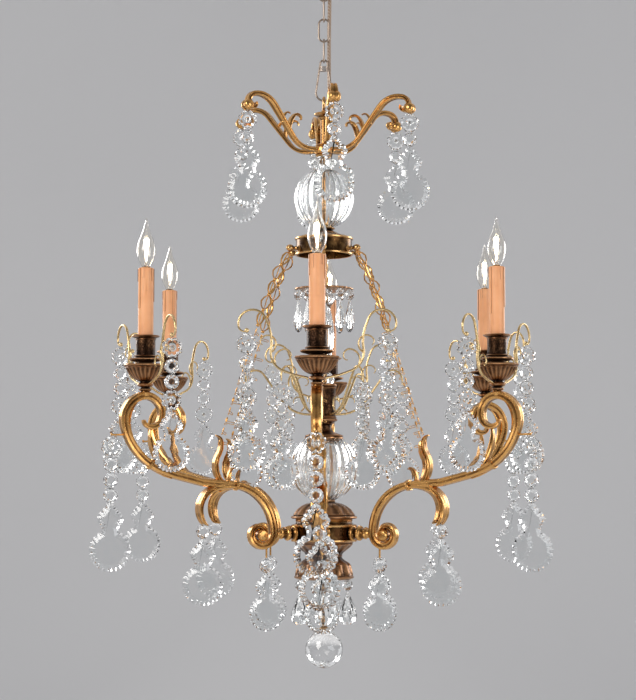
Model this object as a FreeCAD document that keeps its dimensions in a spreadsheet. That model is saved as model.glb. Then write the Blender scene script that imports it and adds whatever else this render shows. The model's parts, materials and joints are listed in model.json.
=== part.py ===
import FreeCAD, Part
import math
import os

import Sketcher

# Crystal chandelier. The origin is in the ceiling plane on the fixture's axis, +Z is up and
# -Y is the front. The fixture hangs from its ceiling rose by a chain; everything on it is
# stacked on one column, and six cast arms with candles stand round the hub.

SIZES = {
    # running clearances
    "seat_gap": 0.3,
    "bore_gap": 0.2,
    "bead_gap": 0.4,
    "hang_gap": 0.7,
    "cord_end_gap": 0.95,
    # ceiling rose
    "canopy_radius": 62.0,
    "canopy_height": 46.0,
    "canopy_wall": 1.6,
    "canopy_foot": 17.0,
    "canopy_boss": 6.5,
    "bar_end": 4.0,
    "bar_width": 22.0,
    "bar_thick": 3.0,
    "slot_spacing": 84.0,
    "slot_length": 14.0,
    "slot_width": 5.0,
    "nipple_radius": 4.8,
    "nut_height": 5.0,
    "nut_radius": 9.0,
    "loop_shoulder": 4.0,
    "shoulder_ring_radius": 6.6,
    "loop_neck_radius": 3.2,
    "eye_radius": 11.0,
    "eye_wire": 4.0,
    "eye_drop": 12.5,
    # chain and supply cord
    "link_count": 5,
    "link_length": 39.0,
    "link_width": 19.0,
    "link_wire": 3.0,
    "pear_length": 68.0,
    "pear_width": 28.0,
    "pear_wire": 3.0,
    "cord_radius": 3.0,
    "cord_right": 8.5,
    "cord_back": 7.0,
    # stem and its ring
    "ring_radius": 10.5,
    "ring_wire": 5.0,
    "stem_radius": 5.0,
    "cap_radius": 15.5,
    "cap_height": 5.0,
    "crown_stem": 45.0,
    # column, from the crown down to the finial
    "crown_hub_height": 20.0,
    "crown_hub_radius": 15.0,
    "knop_height": 21.0,
    "knop_radius": 21.0,
    "upper_ball_height": 91.0,
    "upper_ball_radius": 47.3,
    "drum_collar_height": 9.0,
    "drum_collar_radius": 21.0,
    "drum_roof_height": 7.0,
    "drum_radius": 45.0,
    "drum_height": 28.0,
    "drum_wall": 3.0,
    "knob_reach": 60.0,
    "knob_radius": 5.5,
    "open_length": 50.0,
    "drop_plate_height": 4.0,
    "drop_plate_radius": 46.0,
    "baluster_length": 146.0,
    "baluster_radius": 17.0,
    "sleeve_length": 57.0,
    "sleeve_radius": 18.0,
    "neck_length": 23.0,
    "neck_radius": 12.0,
    "collar_height": 6.0,
    "collar_radius": 30.0,
    "lower_ball_height": 94.0,
    "lower_ball_radius": 53.0,
    "lower_ball_rise": 44.0,
    "dome_height": 29.0,
    "dome_top_radius": 17.0,
    "dome_radius": 51.0,
    "waist_height": 9.0,
    "waist_radius": 44.0,
    "hub_height": 26.0,
    "hub_radius": 51.0,
    "bell_height": 24.0,
    "bell_radius": 46.0,
    "bell_foot_radius": 28.0,
    "dish_height": 34.0,
    "dish_radius": 46.0,
    "ball_cut": 0.95,
    "finial_rod_length": 77.0,
    "finial_rod_radius": 3.5,
    "finial_radius": 30.0,
    # cast arms, in the plane of the column: radii and turns of the scrolls
    "arm_count": 6,
    "arm_turn": -2.0,
    "arm_width": 16.0,
    "arm_depth": 13.0,
    "arm_nipple_radius": 8.0,
    "arm_nipple_flange": 11.0,
    "arm_start": 88.0,
    "arm_lift": 2.0,
    "volute_radius": 20.0,
    "volute_knob": 9.0,
    "volute_knob_width": 24.0,
    "arch_radius": 72.0,
    "shoulder_radius": 75.0,
    "shoulder_turn": 25.0,
    "hook_radius": 32.0,
    "hook_turn": 105.0,
    "hook_leaf_width": 27.0,
    "hook_leaf_depth": 9.0,
    "tip_depth": 4.0,
    "sweep_radius": 300.0,
    "sweep_turn": 18.0,
    "sweep_run": 17.0,
    "rise_radius": 95.0,
    "rise_turn": 57.0,
    "top_radius": 36.0,
    "top_turn": 90.0,
    "curl_radius": 26.0,
    "curl_turn": 180.0,
    "branch_start": 112.0,
    "branch_rise": 26.0,
    "branch_radius": 62.0,
    "branch_turn": 62.0,
    "branch_depth": 7.0,
    "branch_width": 14.0,
    "leaf_start": 16.0,
    "leaf_radius": 34.0,
    "leaf_turn": 65.0,
    "leaf_tip_radius": 30.0,
    "leaf_tip_turn": 50.0,
    "leaf_depth": 8.0,
    "leaf_width": 18.0,
    "pin_width": 3.0,
    "outer_pin_level": 71.0,
    "outer_pin_start": 328.0,
    "outer_pin_end": 353.5,
    "volute_pin_length": 12.0,
    "candle_reach": 299.0,
    "seat_rise": 1.5,
    "pedestal_radius": 7.0,
    "pedestal_height": 7.5,
    # candle: bowl, cup, sleeve, lamp holder and bulb
    "bowl_foot_radius": 8.0,
    "bowl_knuckle_radius": 12.0,
    "bowl_knuckle_rise": 9.0,
    "bowl_rise": 36.0,
    "bowl_radius": 32.0,
    "bowl_rim": 3.0,
    "saucer_radius": 24.0,
    "saucer_rise": 6.0,
    "saucer_rim": 3.0,
    "cup_radius": 14.5,
    "cup_height": 34.0,
    "cup_lip_radius": 21.0,
    "cup_lip": 4.0,
    "candle_radius": 11.5,
    "candle_bore": 10.0,
    "candle_height": 100.0,
    "holder_radius": 9.2,
    "holder_height": 91.0,
    "bulb_neck_radius": 6.5,
    "bulb_neck_length": 11.0,
    "bulb_radius": 14.2,
    "bulb_belly_rise": 23.0,
    "bulb_height": 83.0,
    # wire lyre across each bowl
    "lyre_wire": 3.6,
    "lyre_start_turn": 8.0,
    "lyre_base_radius": 130.0,
    "lyre_base_turn": 17.0,
    "lyre_corner_radius": 27.0,
    "lyre_corner_turn": 75.0,
    "lyre_side_radius": 60.0,
    "lyre_side_turn": 30.0,
    "lyre_side_run": 12.0,
    "lyre_bow_radius": 20.0,
    "lyre_bow_turn": 168.0,
    "lyre_hook_radius": 9.0,
    "lyre_hook_turn": 100.0,
    # crown arms
    "crown_turn": 6.0,
    "crown_depth": 8.0,
    "crown_width": 11.0,
    "crown_foot_run": 17.0,
    "crown_foot_radius": 40.0,
    "crown_foot_turn": 52.0,
    "crown_rise_run": 58.0,
    "crown_bow_radius": 36.0,
    "crown_bow_turn": 67.0,
    "crown_tip_radius": 14.0,
    "crown_tip_turn": 85.0,
    "crown_knob_radius": 8.5,
    "crown_knob_width": 19.0,
    "sprout_radius": 22.0,
    "sprout_turn": 90.0,
    "sprout_depth": 5.0,
    # bent wires that carry the column strands
    "hook_wire": 3.6,
    "hook_foot_radius": 50.0,
    "hook_foot_turn": 55.0,
    "hook_rise_run": 50.0,
    "hook_bow_radius": 15.0,
    "hook_bow_turn": 145.0,
    "hook_tail_run": 8.0,
    # swags from the drum's knobs to the arms' leaves
    "husk_count": 5,
    "husk_width": 15.0,
    "husk_bar": 2.6,
    "husk_share": 0.40,
    "swag_link_count": 6,
    "swag_link_width": 5.0,
    "swag_bow": 8.0,
    # cut crystals
    "rosette_radius": 15.0,
    "rosette_thick": 8.0,
    "octagon_radius": 11.0,
    "octagon_thick": 9.0,
    "small_octagon_radius": 7.0,
    "small_octagon_thick": 6.0,
    "plate_length": 101.0,
    "plate_width": 63.0,
    "small_plate_length": 89.0,
    "small_plate_width": 54.0,
    "plate_thick": 5.5,
    "almond_length": 50.0,
    "almond_width": 15.0,
    "teardrop_length": 51.0,
    "teardrop_width": 28.0,
    "bead_radius": 8.0,
    "top_drop_count": 10,
    "bottom_drop_count": 6,
    "bottom_ring_radius": 42.0,
}

# a pear-shaped plate's half outline: shares of its width and of its length, from the top down
PLATE_OUTLINE = [
    (0.09, 0.0),
    (0.31, 0.22),
    (0.24, 0.40),
    (0.43, 0.55),
    (0.50, 0.71),
    (0.40, 0.89),
    (0.14, 1.0),
]
PLATE_PEAK = 0.68
# heights of the finial's facet rows, as shares of its radius
FINIAL_LEVELS = (-0.97, -0.6, 0.0, 0.6, 0.97)

WIDE_SIDES = 20
ROUND_SIDES = 14
SLIM_SIDES = 12
CANDLE_SIDES = 10
BORE_SIDES = 12
RING_SIDES = 12
ARM_STEP = 33.0
LINK_STEP = 36.0
LINK_RUNS = 5
PEAR_TOP_RUNS = 3
WIRE_STEP = 45.0
FRONT = 0.0

V = FreeCAD.Vector
UP = V(0, 0, 1)
ORIGIN = V(0, 0, 0)

doc = FreeCAD.newDocument("chandelier")
sheet = doc.addObject("Spreadsheet::Sheet", "Sizes")
for row, (alias, number) in enumerate(SIZES.items(), 1):
    sheet.set(f"A{row}", alias)
    sheet.set(f"B{row}", str(number))
    sheet.setAlias(f"B{row}", alias)
doc.recompute()

sub_parts = []


# ---------------------------------------------------------------- sizes with their formulas


class Size:
    """A number together with the spreadsheet formula that it comes from."""

    def __init__(self, value, text):
        self.value = float(value)
        self.text = text

    def __float__(self):
        return self.value

    def __add__(self, other):
        other = sized(other)
        return Size(self.value + other.value, f"({self.text} + {other.text})")

    def __sub__(self, other):
        other = sized(other)
        return Size(self.value - other.value, f"({self.text} - {other.text})")

    def __rsub__(self, other):
        return sized(other) - self

    def __mul__(self, other):
        other = sized(other)
        return Size(self.value * other.value, f"{self.text} * {other.text}")

    def __truediv__(self, other):
        other = sized(other)
        return Size(self.value / other.value, f"{self.text} / {other.text}")

    def __neg__(self):
        return Size(-self.value, f"(0 - {self.text})")

    __radd__ = __add__
    __rmul__ = __mul__


class Sheet:
    """Each alias of the sheet as a Size."""

    def __getattr__(self, alias):
        return Size(SIZES[alias], f"Sizes.{alias}")


def sized(item):
    return item if isinstance(item, Size) else Size(item, f"({item})")


def sine(angle):
    angle = sized(angle)
    return Size(math.sin(math.radians(angle.value)), f"sin({angle.text})")


def cosine(angle):
    angle = sized(angle)
    return Size(math.cos(math.radians(angle.value)), f"cos({angle.text})")


def bind(item, name, size):
    """Sets a property from a size and ties it to the sheet."""
    setattr(item, name, float(size))
    if isinstance(size, Size):
        item.setExpression(name, size.text)


size = Sheet()


# ---------------------------------------------------------------- sketches and bodies


def plane_of(body, role):
    return next(f for f in body.Origin.OriginFeatures if f.Role == role)


def new_body(label, handed_over=True):
    body = doc.addObject("PartDesign::Body", label)
    if handed_over:
        sub_parts.append(body)
    return body


def new_sketch(body, name, plane="XZ_Plane"):
    sketch = body.newObject("Sketcher::SketchObject", name)
    sketch.AttachmentSupport = (plane_of(body, plane), [""])
    sketch.MapMode = "FlatFace"
    return sketch


def pin(sketch, kind, where, value):
    """One dimension of a sketch, tied to the sheet."""
    index = sketch.addConstraint(Sketcher.Constraint(kind, *where, float(value)))
    if isinstance(value, Size):
        sketch.setExpression(f"Constraints[{index}]", value.text)


def arc_middle(start, end, radius, side):
    """The middle of the arc from start to end; side is 1 for a left turn and -1 for a right."""
    chord = end - start
    sagitta = radius - math.sqrt(max(radius**2 - chord.Length**2 / 4, 0))
    outward = V(chord.y, -chord.x, 0).normalize() * side
    return (start + end) * 0.5 + outward * sagitta


def draw(sketch, stops, closed):
    """Draws runs through the stops: (x, y) or, where an arc arrives, (x, y, radius, side)."""
    spots = [V(float(stop[0]), float(stop[1]), 0) for stop in stops]
    order = list(range(len(stops)))
    pairs = list(zip(order, order[1:] + order[:1] if closed else order[1:]))
    ends = []
    base = sketch.GeometryCount
    for index, (first, second) in enumerate(pairs, base):
        arrival = stops[second][2:]
        if arrival:
            radius, side = arrival
            middle = arc_middle(spots[first], spots[second], float(radius), side)
            sketch.addGeometry(Part.Arc(spots[first], middle, spots[second]), False)
            pin(sketch, "Radius", (index,), radius)
            ends.append((1, 2) if side > 0 else (2, 1))
        else:
            sketch.addGeometry(Part.LineSegment(spots[first], spots[second]), False)
            ends.append((1, 2))
    for number, (first, _) in enumerate(pairs):
        place_spot(sketch, base + number, ends[number][0], stops[first])
        follower = (number + 1) % len(pairs)
        if closed or number + 1 < len(pairs):
            joint = (base + number, ends[number][1], base + follower, ends[follower][0])
            sketch.addConstraint(Sketcher.Constraint("Coincident", *joint))
    if not closed:
        place_spot(sketch, base + len(pairs) - 1, ends[-1][1], stops[-1])


def place_spot(sketch, index, end, stop):
    pin(sketch, "DistanceX", (-1, 1, index, end), stop[0])
    pin(sketch, "DistanceY", (-1, 1, index, end), stop[1])


def bar(body, name, start, heading, moves, depth, width, tip_depth=None):
    """A flat-sided bar along a path in the column's plane, its width across that plane."""
    sketch = new_sketch(body, name + "_outline")
    heading = sized(heading)
    x, y = sized(start[0]), sized(start[1])
    stops = [(x, y, heading)]
    steps = []
    for move in moves:
        if len(move) == 1:
            steps.append((move[0] * cosine(heading), move[0] * sine(heading), heading))
            continue
        radius, turn = sized(move[0]), sized(move[1])
        runs = max(1, round(abs(turn.value) / ARM_STEP))
        chord = radius * sine(turn / (2 * runs)) * (2 if turn.value > 0 else -2)
        for _ in range(runs):
            middle = heading + turn / (2 * runs)
            heading = heading + turn / runs
            steps.append((chord * cosine(middle), chord * sine(middle), heading))
    for along, up, after in steps:
        x, y = x + along, y + up
        stops.append((x, y, after))
    draw_bar(sketch, stops, steps, sized(depth), sized(tip_depth or depth))
    pad = body.newObject("PartDesign::Pad", name)
    pad.Profile = sketch
    pad.Midplane = True
    bind(pad, "Length", width)
    sketch.Visibility = False
    return stops


def draw_bar(sketch, stops, steps, depth, tip_depth):
    """The centre line as construction runs, and the outline tied to it on both sides."""
    spots = [V(float(x), float(y), 0) for x, y, _ in stops]
    for first, second in zip(spots, spots[1:]):
        sketch.addGeometry(Part.LineSegment(first, second), True)
    place_spot(sketch, 0, 1, stops[0])
    for index, (along, up, _) in enumerate(steps):
        if index:
            sketch.addConstraint(Sketcher.Constraint("Coincident", index - 1, 2, index, 1))
        pin(sketch, "DistanceX", (index, 1, index, 2), along)
        pin(sketch, "DistanceY", (index, 1, index, 2), up)
    sides = {1: [], -1: []}
    last = len(stops) - 1
    for side, corners in sides.items():
        for number, (_, _, heading) in enumerate(stops):
            half = (depth + (tip_depth - depth) * (number / last)) / 2
            across, up = sine(heading) * half * -side, cosine(heading) * half * side
            corners.append((spots[number] + V(float(across), float(up), 0), number, across, up))
    corners = sides[1] + sides[-1][::-1]
    base = sketch.GeometryCount
    for number, corner in enumerate(corners):
        after = corners[(number + 1) % len(corners)]
        sketch.addGeometry(Part.LineSegment(corner[0], after[0]), False)
    for number, (_, stop, across, up) in enumerate(corners):
        follower = (number + 1) % len(corners)
        joint = (base + number, 2, base + follower, 1)
        sketch.addConstraint(Sketcher.Constraint("Coincident", *joint))
        anchor = (stop, 1) if stop < last else (stop - 1, 2)
        pin(sketch, "DistanceX", (*anchor, base + number, 1), across)
        pin(sketch, "DistanceY", (*anchor, base + number, 1), up)


def prism(body, name, radius, length, where, axis, sides=6):
    """A round-like bar of flat sides, centred on a point of the column's plane."""
    post = body.newObject("PartDesign::AdditivePrism", name)
    post.Polygon = sides
    bind(post, "Circumradius", radius)
    bind(post, "Height", length)
    turn = FreeCAD.Rotation(UP, axis)
    offset = turn.multVec(UP) * (float(length) / 2)
    base = V(float(where[0]), 0, float(where[1])) - offset
    post.Placement = FreeCAD.Placement(base, turn)
    return post


def block(body, name, low, high):
    """A square pin of the pins' width, between two corners of the column's plane."""
    pin_block = body.newObject("PartDesign::AdditiveBox", name)
    bind(pin_block, "Length", high[0] - low[0])
    bind(pin_block, "Width", size.pin_width)
    bind(pin_block, "Height", high[1] - low[1])
    corner = V(float(low[0]), -float(size.pin_width) / 2, float(low[1]))
    pin_block.Placement = FreeCAD.Placement(corner, FreeCAD.Rotation())
    return pin_block


def ring_of(label, source, count, first, reach=0.0):
    """The sub-part made of one source piece repeated round the column."""
    copies = []
    for k in range(count):
        link = doc.addObject("App::Link", f"{label}_{k + 1}_of_{count}")
        link.LinkedObject = source
        link.LinkTransform = True
        turn = FreeCAD.Rotation(UP, azimuth(first + 360.0 * k / count))
        link.Placement = FreeCAD.Placement(turn.multVec(V(reach, 0, 0)), turn)
        copies.append(link)
    ring = doc.addObject("Part::Compound", label)
    ring.Links = copies
    sub_parts.append(ring)
    return ring


# ---------------------------------------------------------------- faceted solids


def solid_of(polygons):
    """The closed solid whose flat faces are these polygons."""
    faces = [Part.Face(Part.makePolygon([*p, p[0]])) for p in polygons]
    solid = Part.makeSolid(Part.makeShell(faces))
    if solid.Volume < 0:
        solid.reverse()
    return solid


def faceted(profile, sides):
    """A solid of flat facets about the Z axis, from (radius, height) pairs, bottom to top."""
    def ring(radius, height):
        if radius == 0:
            return [V(0, 0, height)]
        turns = [math.tau * (k + 0.5) / sides for k in range(sides)]
        return [V(radius * math.cos(a), radius * math.sin(a), height) for a in turns]

    rings = [ring(float(r), float(h)) for r, h in profile]
    polygons = []
    for low, high in zip(rings, rings[1:]):
        for k in range(sides):
            after = (k + 1) % sides
            if len(low) == 1:
                polygons.append([low[0], high[after], high[k]])
            elif len(high) == 1:
                polygons.append([low[k], low[after], high[0]])
            else:
                polygons.append([low[k], low[after], high[after], high[k]])
    polygons += [r for r in (rings[0], rings[-1]) if len(r) > 1]
    return solid_of(polygons)


def trace(start, heading, moves, step):
    """Points along a path of moves (radius, turn) or (length,), straight between them."""
    x, y = float(start[0]), float(start[1])
    heading = math.radians(float(heading))
    points = [V(x, y, 0)]
    for move in moves:
        if len(move) == 1:
            x += float(move[0]) * math.cos(heading)
            y += float(move[0]) * math.sin(heading)
            points.append(V(x, y, 0))
            continue
        radius, turn = float(move[0]), float(move[1])
        runs = move[2] if len(move) > 2 else max(1, round(abs(turn) / step))
        part = math.radians(turn) / runs
        side = 1 if turn > 0 else -1
        for _ in range(runs):
            x += radius * side * (math.sin(heading + part) - math.sin(heading))
            y += radius * side * (math.cos(heading) - math.cos(heading + part))
            heading += part
            points.append(V(x, y, 0))
    return points


def shifted(points, distance, closed):
    """The line through the points moved to its left, with mitred corners."""
    count = len(points)
    moved = []
    for k, spot in enumerate(points):
        before = points[k - 1] if closed or k else None
        after = points[(k + 1) % count] if closed or k + 1 < count else None
        normals = []
        for first, second in ((before, spot), (spot, after)):
            if first is not None and second is not None:
                along = (second - first).normalize()
                normals.append(V(-along.y, along.x, 0))
        both = (normals[0] + normals[-1]).normalize()
        moved.append(spot + both * (distance / both.dot(normals[0])))
    return moved


def framed(first, second):
    """The flat face between two outlines, one inside the other."""
    outlines = [Part.makePolygon([*spots, spots[0]]) for spots in (first, second)]
    return Part.makeFace(outlines, "Part::FaceMakerBullseye")


def bar_along(points, depth, width, closed=False):
    """A flat-sided bar along points of the XY plane, its width along Z, centred."""
    left = shifted(points, depth / 2, closed)
    right = shifted(points, -depth / 2, closed)
    if closed:
        face = framed(left, right)
    else:
        loop = left + right[::-1]
        face = Part.Face(Part.makePolygon([*loop, loop[0]]))
    bar = face.extrude(V(0, 0, width))
    bar.translate(V(0, 0, -width / 2))
    return bar


def upright(shape):
    """Turns a shape drawn in the XY plane so that its Y is up and its Z is to the front."""
    turned_up = shape.copy()
    turned_up.rotate(ORIGIN, V(1, 0, 0), 90)
    return turned_up


def placed(shape, x, y, z, turn=0.0):
    moved = shape.copy()
    moved.rotate(ORIGIN, UP, turn)
    moved.translate(V(x, y, z))
    return moved


def azimuth(degrees):
    """The turn about Z that brings +X to an azimuth counted from the front towards +X."""
    return degrees - 90.0


def around(shape, count, first):
    """Copies of a shape round the column; its +X points to each azimuth in turn."""
    copies = []
    for k in range(count):
        copy = shape.copy()
        copy.rotate(ORIGIN, UP, azimuth(first + 360.0 * k / count))
        copies.append(copy)
    return copies


def piece(label, solids, placement=None):
    """An object whose flat-faced solids are worked out from the sheet."""
    item = doc.addObject("Part::Feature", label)
    item.Shape = Part.makeCompound(solids) if len(solids) > 1 else solids[0]
    if placement is not None:
        item.Placement = placement
    return item


def feature(label, solids, placement=None):
    """A sub-part of flat-faced solids."""
    item = piece(label, solids, placement)
    sub_parts.append(item)
    return item


# ---------------------------------------------------------------- heights down the column

boss_bottom = -(size.canopy_height + size.canopy_boss)
eye_level = boss_bottom - size.eye_drop
eye_bar_top = eye_level - size.eye_radius + size.eye_wire / 2
link_pitch = size.link_length - size.link_wire * 2 - size.seat_gap
first_link = eye_bar_top + size.seat_gap + size.link_wire - size.link_length / 2
last_link = first_link - link_pitch * (int(SIZES["link_count"]) - 1)
last_bar_top = last_link - size.link_length / 2 + size.link_wire
pear_top = last_bar_top + size.seat_gap + size.pear_wire
pear_bottom = pear_top - size.pear_length
swing_level = pear_bottom + size.pear_wire + size.seat_gap / 2
ring_level = pear_bottom + size.pear_wire + size.seat_gap + size.ring_wire / 2 - size.ring_radius
cap_top = ring_level - size.ring_radius - size.ring_wire / 2
cap_bottom = cap_top - size.cap_height
crown_top = cap_bottom - size.crown_stem
knop_top = crown_top - size.crown_hub_height
upper_ball_top = knop_top - size.knop_height
drum_collar_top = upper_ball_top - size.upper_ball_height
drum_roof_top = drum_collar_top - size.drum_collar_height
drum_top = drum_roof_top - size.drum_roof_height
drum_bottom = drum_top - size.drum_height
plate_top = drum_bottom - size.open_length
baluster_top = plate_top - size.drop_plate_height
sleeve_top = baluster_top - size.baluster_length
neck_top = sleeve_top - size.sleeve_length
collar_top = neck_top - size.neck_length
lower_ball_top = collar_top - size.collar_height
dome_top = lower_ball_top - size.lower_ball_height
waist_top = dome_top - size.dome_height
hub_top = waist_top - size.waist_height
bell_top = hub_top - size.hub_height
dish_top = bell_top - size.bell_height
dish_bottom = dish_top - size.dish_height
finial_top = dish_bottom - size.finial_rod_length
hub_level = hub_top - size.hub_height / 2
crown_level = crown_top - size.crown_hub_height / 2
tube_clear = size.stem_radius + size.seat_gap


# ---------------------------------------------------------------- ceiling rose


def make_canopy():
    """The dished cover, open at the ceiling, with a boss below for the loop's shoulder."""
    wall = float(size.canopy_wall)
    rim, foot = float(size.canopy_radius), float(size.canopy_foot)
    bottom = -float(size.canopy_height)
    shoulder = rim * 0.84
    outer = [
        (foot, float(boss_bottom)),
        (foot, bottom),
        (shoulder, bottom * 0.62),
        (rim, bottom * 0.14),
        (rim, 0),
    ]
    inner = [
        (foot - wall, bottom + wall),
        (shoulder - wall, bottom * 0.62 + wall),
        (rim - wall, bottom * 0.14),
        (rim - wall, 1.0),
    ]
    shell = faceted(outer, WIDE_SIDES).cut(faceted(inner, WIDE_SIDES))
    across = float(size.nipple_radius + size.bore_gap) / math.cos(math.pi / CANDLE_SIDES)
    bore = faceted([(across, float(boss_bottom) - 1), (across, 1.0)], CANDLE_SIDES)
    feature("ceiling_canopy", [shell.cut(bore)])


def make_mounting_bar():
    body = new_body("mounting_bar")
    sketch = new_sketch(body, "bar_outline", "XY_Plane")
    half_length = (size.slot_spacing + size.slot_length) / 2 + size.bar_end
    half_width = size.bar_width / 2
    corners = [
        (-half_length, -half_width),
        (half_length, -half_width),
        (half_length, half_width),
        (-half_length, half_width),
    ]
    draw(sketch, corners, True)
    bar = body.newObject("PartDesign::Pad", "bar")
    bar.Profile = sketch
    bind(bar, "Length", size.bar_thick)
    bar.Reversed = True
    doc.recompute()
    solid_bar = body.Shape.Volume
    holes = new_sketch(body, "bar_holes", "XY_Plane")
    bore = size.nipple_radius + size.bore_gap
    round_hole(holes, (0, 0), bore)
    for side in (-1, 1):
        draw_slot(holes, side)
    doc.recompute()
    cut = body.newObject("PartDesign::Pocket", "bar_cuts")
    cut.Profile = holes
    cut.Type = 1
    cut.Midplane = True
    doc.recompute()
    if not body.Shape.Volume < solid_bar - 100.0:
        raise RuntimeError("the mounting bar's holes cut nothing")


def round_hole(sketch, centre, radius):
    middle = V(float(centre[0]), float(centre[1]), 0)
    index = sketch.addGeometry(Part.Circle(middle, UP, float(radius)), False)
    pin(sketch, "Radius", (index,), radius)
    place_spot(sketch, index, 3, centre)


def draw_slot(sketch, side):
    """A slot with round ends: two quarter turns at each end."""
    radius = size.slot_width / 2
    centre = size.slot_spacing / 2 * side
    reach = size.slot_length / 2 - radius
    stops = [
        (centre - reach, -radius, radius, 1),
        (centre + reach, -radius),
        (centre + reach + radius, 0, radius, 1),
        (centre + reach, radius, radius, 1),
        (centre - reach, radius),
        (centre - reach - radius, 0, radius, 1),
    ]
    draw(sketch, stops, True)


def ring_points(radius):
    """A ring's centre line as a polygon whose flats touch the circle, one of them at its foot."""
    turns = [math.tau * (k + 0.5) / RING_SIDES for k in range(RING_SIDES)]
    reach = radius / math.cos(math.pi / RING_SIDES)
    return [V(reach * math.cos(a), reach * math.sin(a), 0) for a in turns]


def make_canopy_loop():
    """The eye under the rose, with the threaded nipple and the nut that hold the rose up."""
    wire = float(size.eye_wire)
    eye = upright(bar_along(ring_points(float(size.eye_radius)), wire, wire, True))
    eye.translate(V(0, 0, float(eye_level)))
    neck_low = float(eye_level) + float(size.eye_radius) - 1.0
    nut_top = -float(size.bar_thick)
    neck, shank, wide = (float(s) for s in (size.loop_neck_radius, size.nipple_radius, size.nut_radius))
    shoulder = float(boss_bottom) - float(size.loop_shoulder)
    ring = float(size.shoulder_ring_radius)
    profile = [
        (neck, neck_low),
        (neck, shoulder),
        (ring, shoulder),
        (ring, float(boss_bottom)),
        (shank, float(boss_bottom)),
        (shank, nut_top - float(size.nut_height)),
        (wide, nut_top - float(size.nut_height)),
        (wide, nut_top),
        (shank, nut_top),
        (shank, -0.5),
    ]
    feature("canopy_loop", [eye.fuse(faceted(profile, CANDLE_SIDES))])


# ---------------------------------------------------------------- chain and cord


def flat_end_loss(radius, turn, runs):
    """How much nearer the middle flat of a turn cut into runs lies than its arc."""
    return radius * (1 - math.cos(math.radians(turn / runs / 2)))


def oval_points(length, width, wire):
    """The centre line of a link: two half rounds, each with a flat at its end, and two sides."""
    radius = (width - wire) / 2
    runs = LINK_RUNS
    straight = length - wire - 2 * radius + 2 * flat_end_loss(radius, 180.0, runs)
    half_turn = (radius, 180.0, runs)
    start = (radius, -straight / 2)
    return trace(start, 90.0, [(straight,), half_turn, (straight,), half_turn], LINK_STEP)[:-1]


def make_chain():
    length, width, wire = (float(s) for s in (size.link_length, size.link_width, size.link_wire))
    link = upright(bar_along(oval_points(length, width, wire), wire, wire, True))
    links = []
    for k in range(int(SIZES["link_count"])):
        edge_on = 90.0 if k % 2 == 0 else 0.0
        links.append(placed(link, 0, 0, float(first_link) - k * float(link_pitch), edge_on))
    links.append(make_pear())
    feature("suspension_chain", links)


def make_pear():
    """The hanging loop: a bent wire, wide below and narrow above."""
    wire = float(size.pear_wire)
    low_radius = (float(size.pear_width) - wire) / 2
    high_radius = low_radius * 0.45
    reach = float(size.pear_length) - wire - low_radius - high_radius
    lean = math.degrees(math.asin((low_radius - high_radius) / reach))
    low_loss = flat_end_loss(low_radius, 180.0 + 2 * lean, LINK_RUNS)
    high_loss = flat_end_loss(high_radius, 180.0 - 2 * lean, PEAR_TOP_RUNS)
    reach += low_loss + high_loss
    side = math.sqrt(reach**2 - (low_radius - high_radius) ** 2)
    start = (low_radius * math.cos(math.radians(lean)), low_radius * math.sin(math.radians(lean)))
    moves = [
        (side,),
        (high_radius, 180.0 - 2 * lean, PEAR_TOP_RUNS),
        (side,),
        (low_radius, 180.0 + 2 * lean, LINK_RUNS),
    ]
    points = trace(start, 90.0 + lean, moves, LINK_STEP)[:-1]
    pear = upright(bar_along(points, wire, wire, True))
    pear.translate(V(0, 0, float(pear_bottom) + wire / 2 + low_radius - low_loss))
    return pear


def make_cord():
    cord = doc.addObject("Part::Cylinder", "supply_cord")
    bind(cord, "Radius", size.cord_radius)
    top = boss_bottom - size.cord_end_gap
    bottom = cap_top + size.cord_end_gap
    bind(cord, "Height", top - bottom)
    place = V(float(size.cord_right), float(size.cord_back), float(bottom))
    cord.Placement = FreeCAD.Placement(place, FreeCAD.Rotation())
    cord.setExpression("Placement.Base.x", size.cord_right.text)
    cord.setExpression("Placement.Base.y", size.cord_back.text)
    cord.setExpression("Placement.Base.z", bottom.text)
    sub_parts.append(cord)


# ---------------------------------------------------------------- the column


def make_stem():
    """The tube that the column is stacked on, with its cap and the ring that it hangs by."""
    tube, cap = float(size.stem_radius), float(size.cap_radius)
    top, low = float(cap_top), float(cap_bottom)
    rod = float(size.finial_rod_radius)
    rod_low = float(finial_top) - float(size.finial_radius) * (1.0 - FINIAL_LEVELS[-1])
    profile = [
        (rod * 2.2, rod_low),
        (rod, rod_low + 7.0),
        (rod, float(dish_bottom)),
        (tube, float(dish_bottom)),
        (tube, low - 6.0),
        (cap * 0.6, low),
        (cap, low + 2.0),
        (cap, top),
    ]
    wire = float(size.ring_wire)
    ring = upright(bar_along(ring_points(float(size.ring_radius)), wire, wire, True))
    ring.rotate(ORIGIN, UP, 90)
    ring.translate(V(0, 0, float(ring_level)))
    foot = Part.makeBox(wire, wire * 2, wire, V(-wire / 2, -wire, top - 1.0))
    feature("stem_tube", [faceted(profile, SLIM_SIDES).fuse([ring, foot])])


def glass(label, top, profile, sides):
    """A glass piece of the column: its profile from the top down, as (radius, depth)."""
    top = float(top)
    rings = [(radius, top - depth) for radius, depth in profile[::-1]]
    feature(label, [bored(faceted(rings, sides))])


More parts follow.
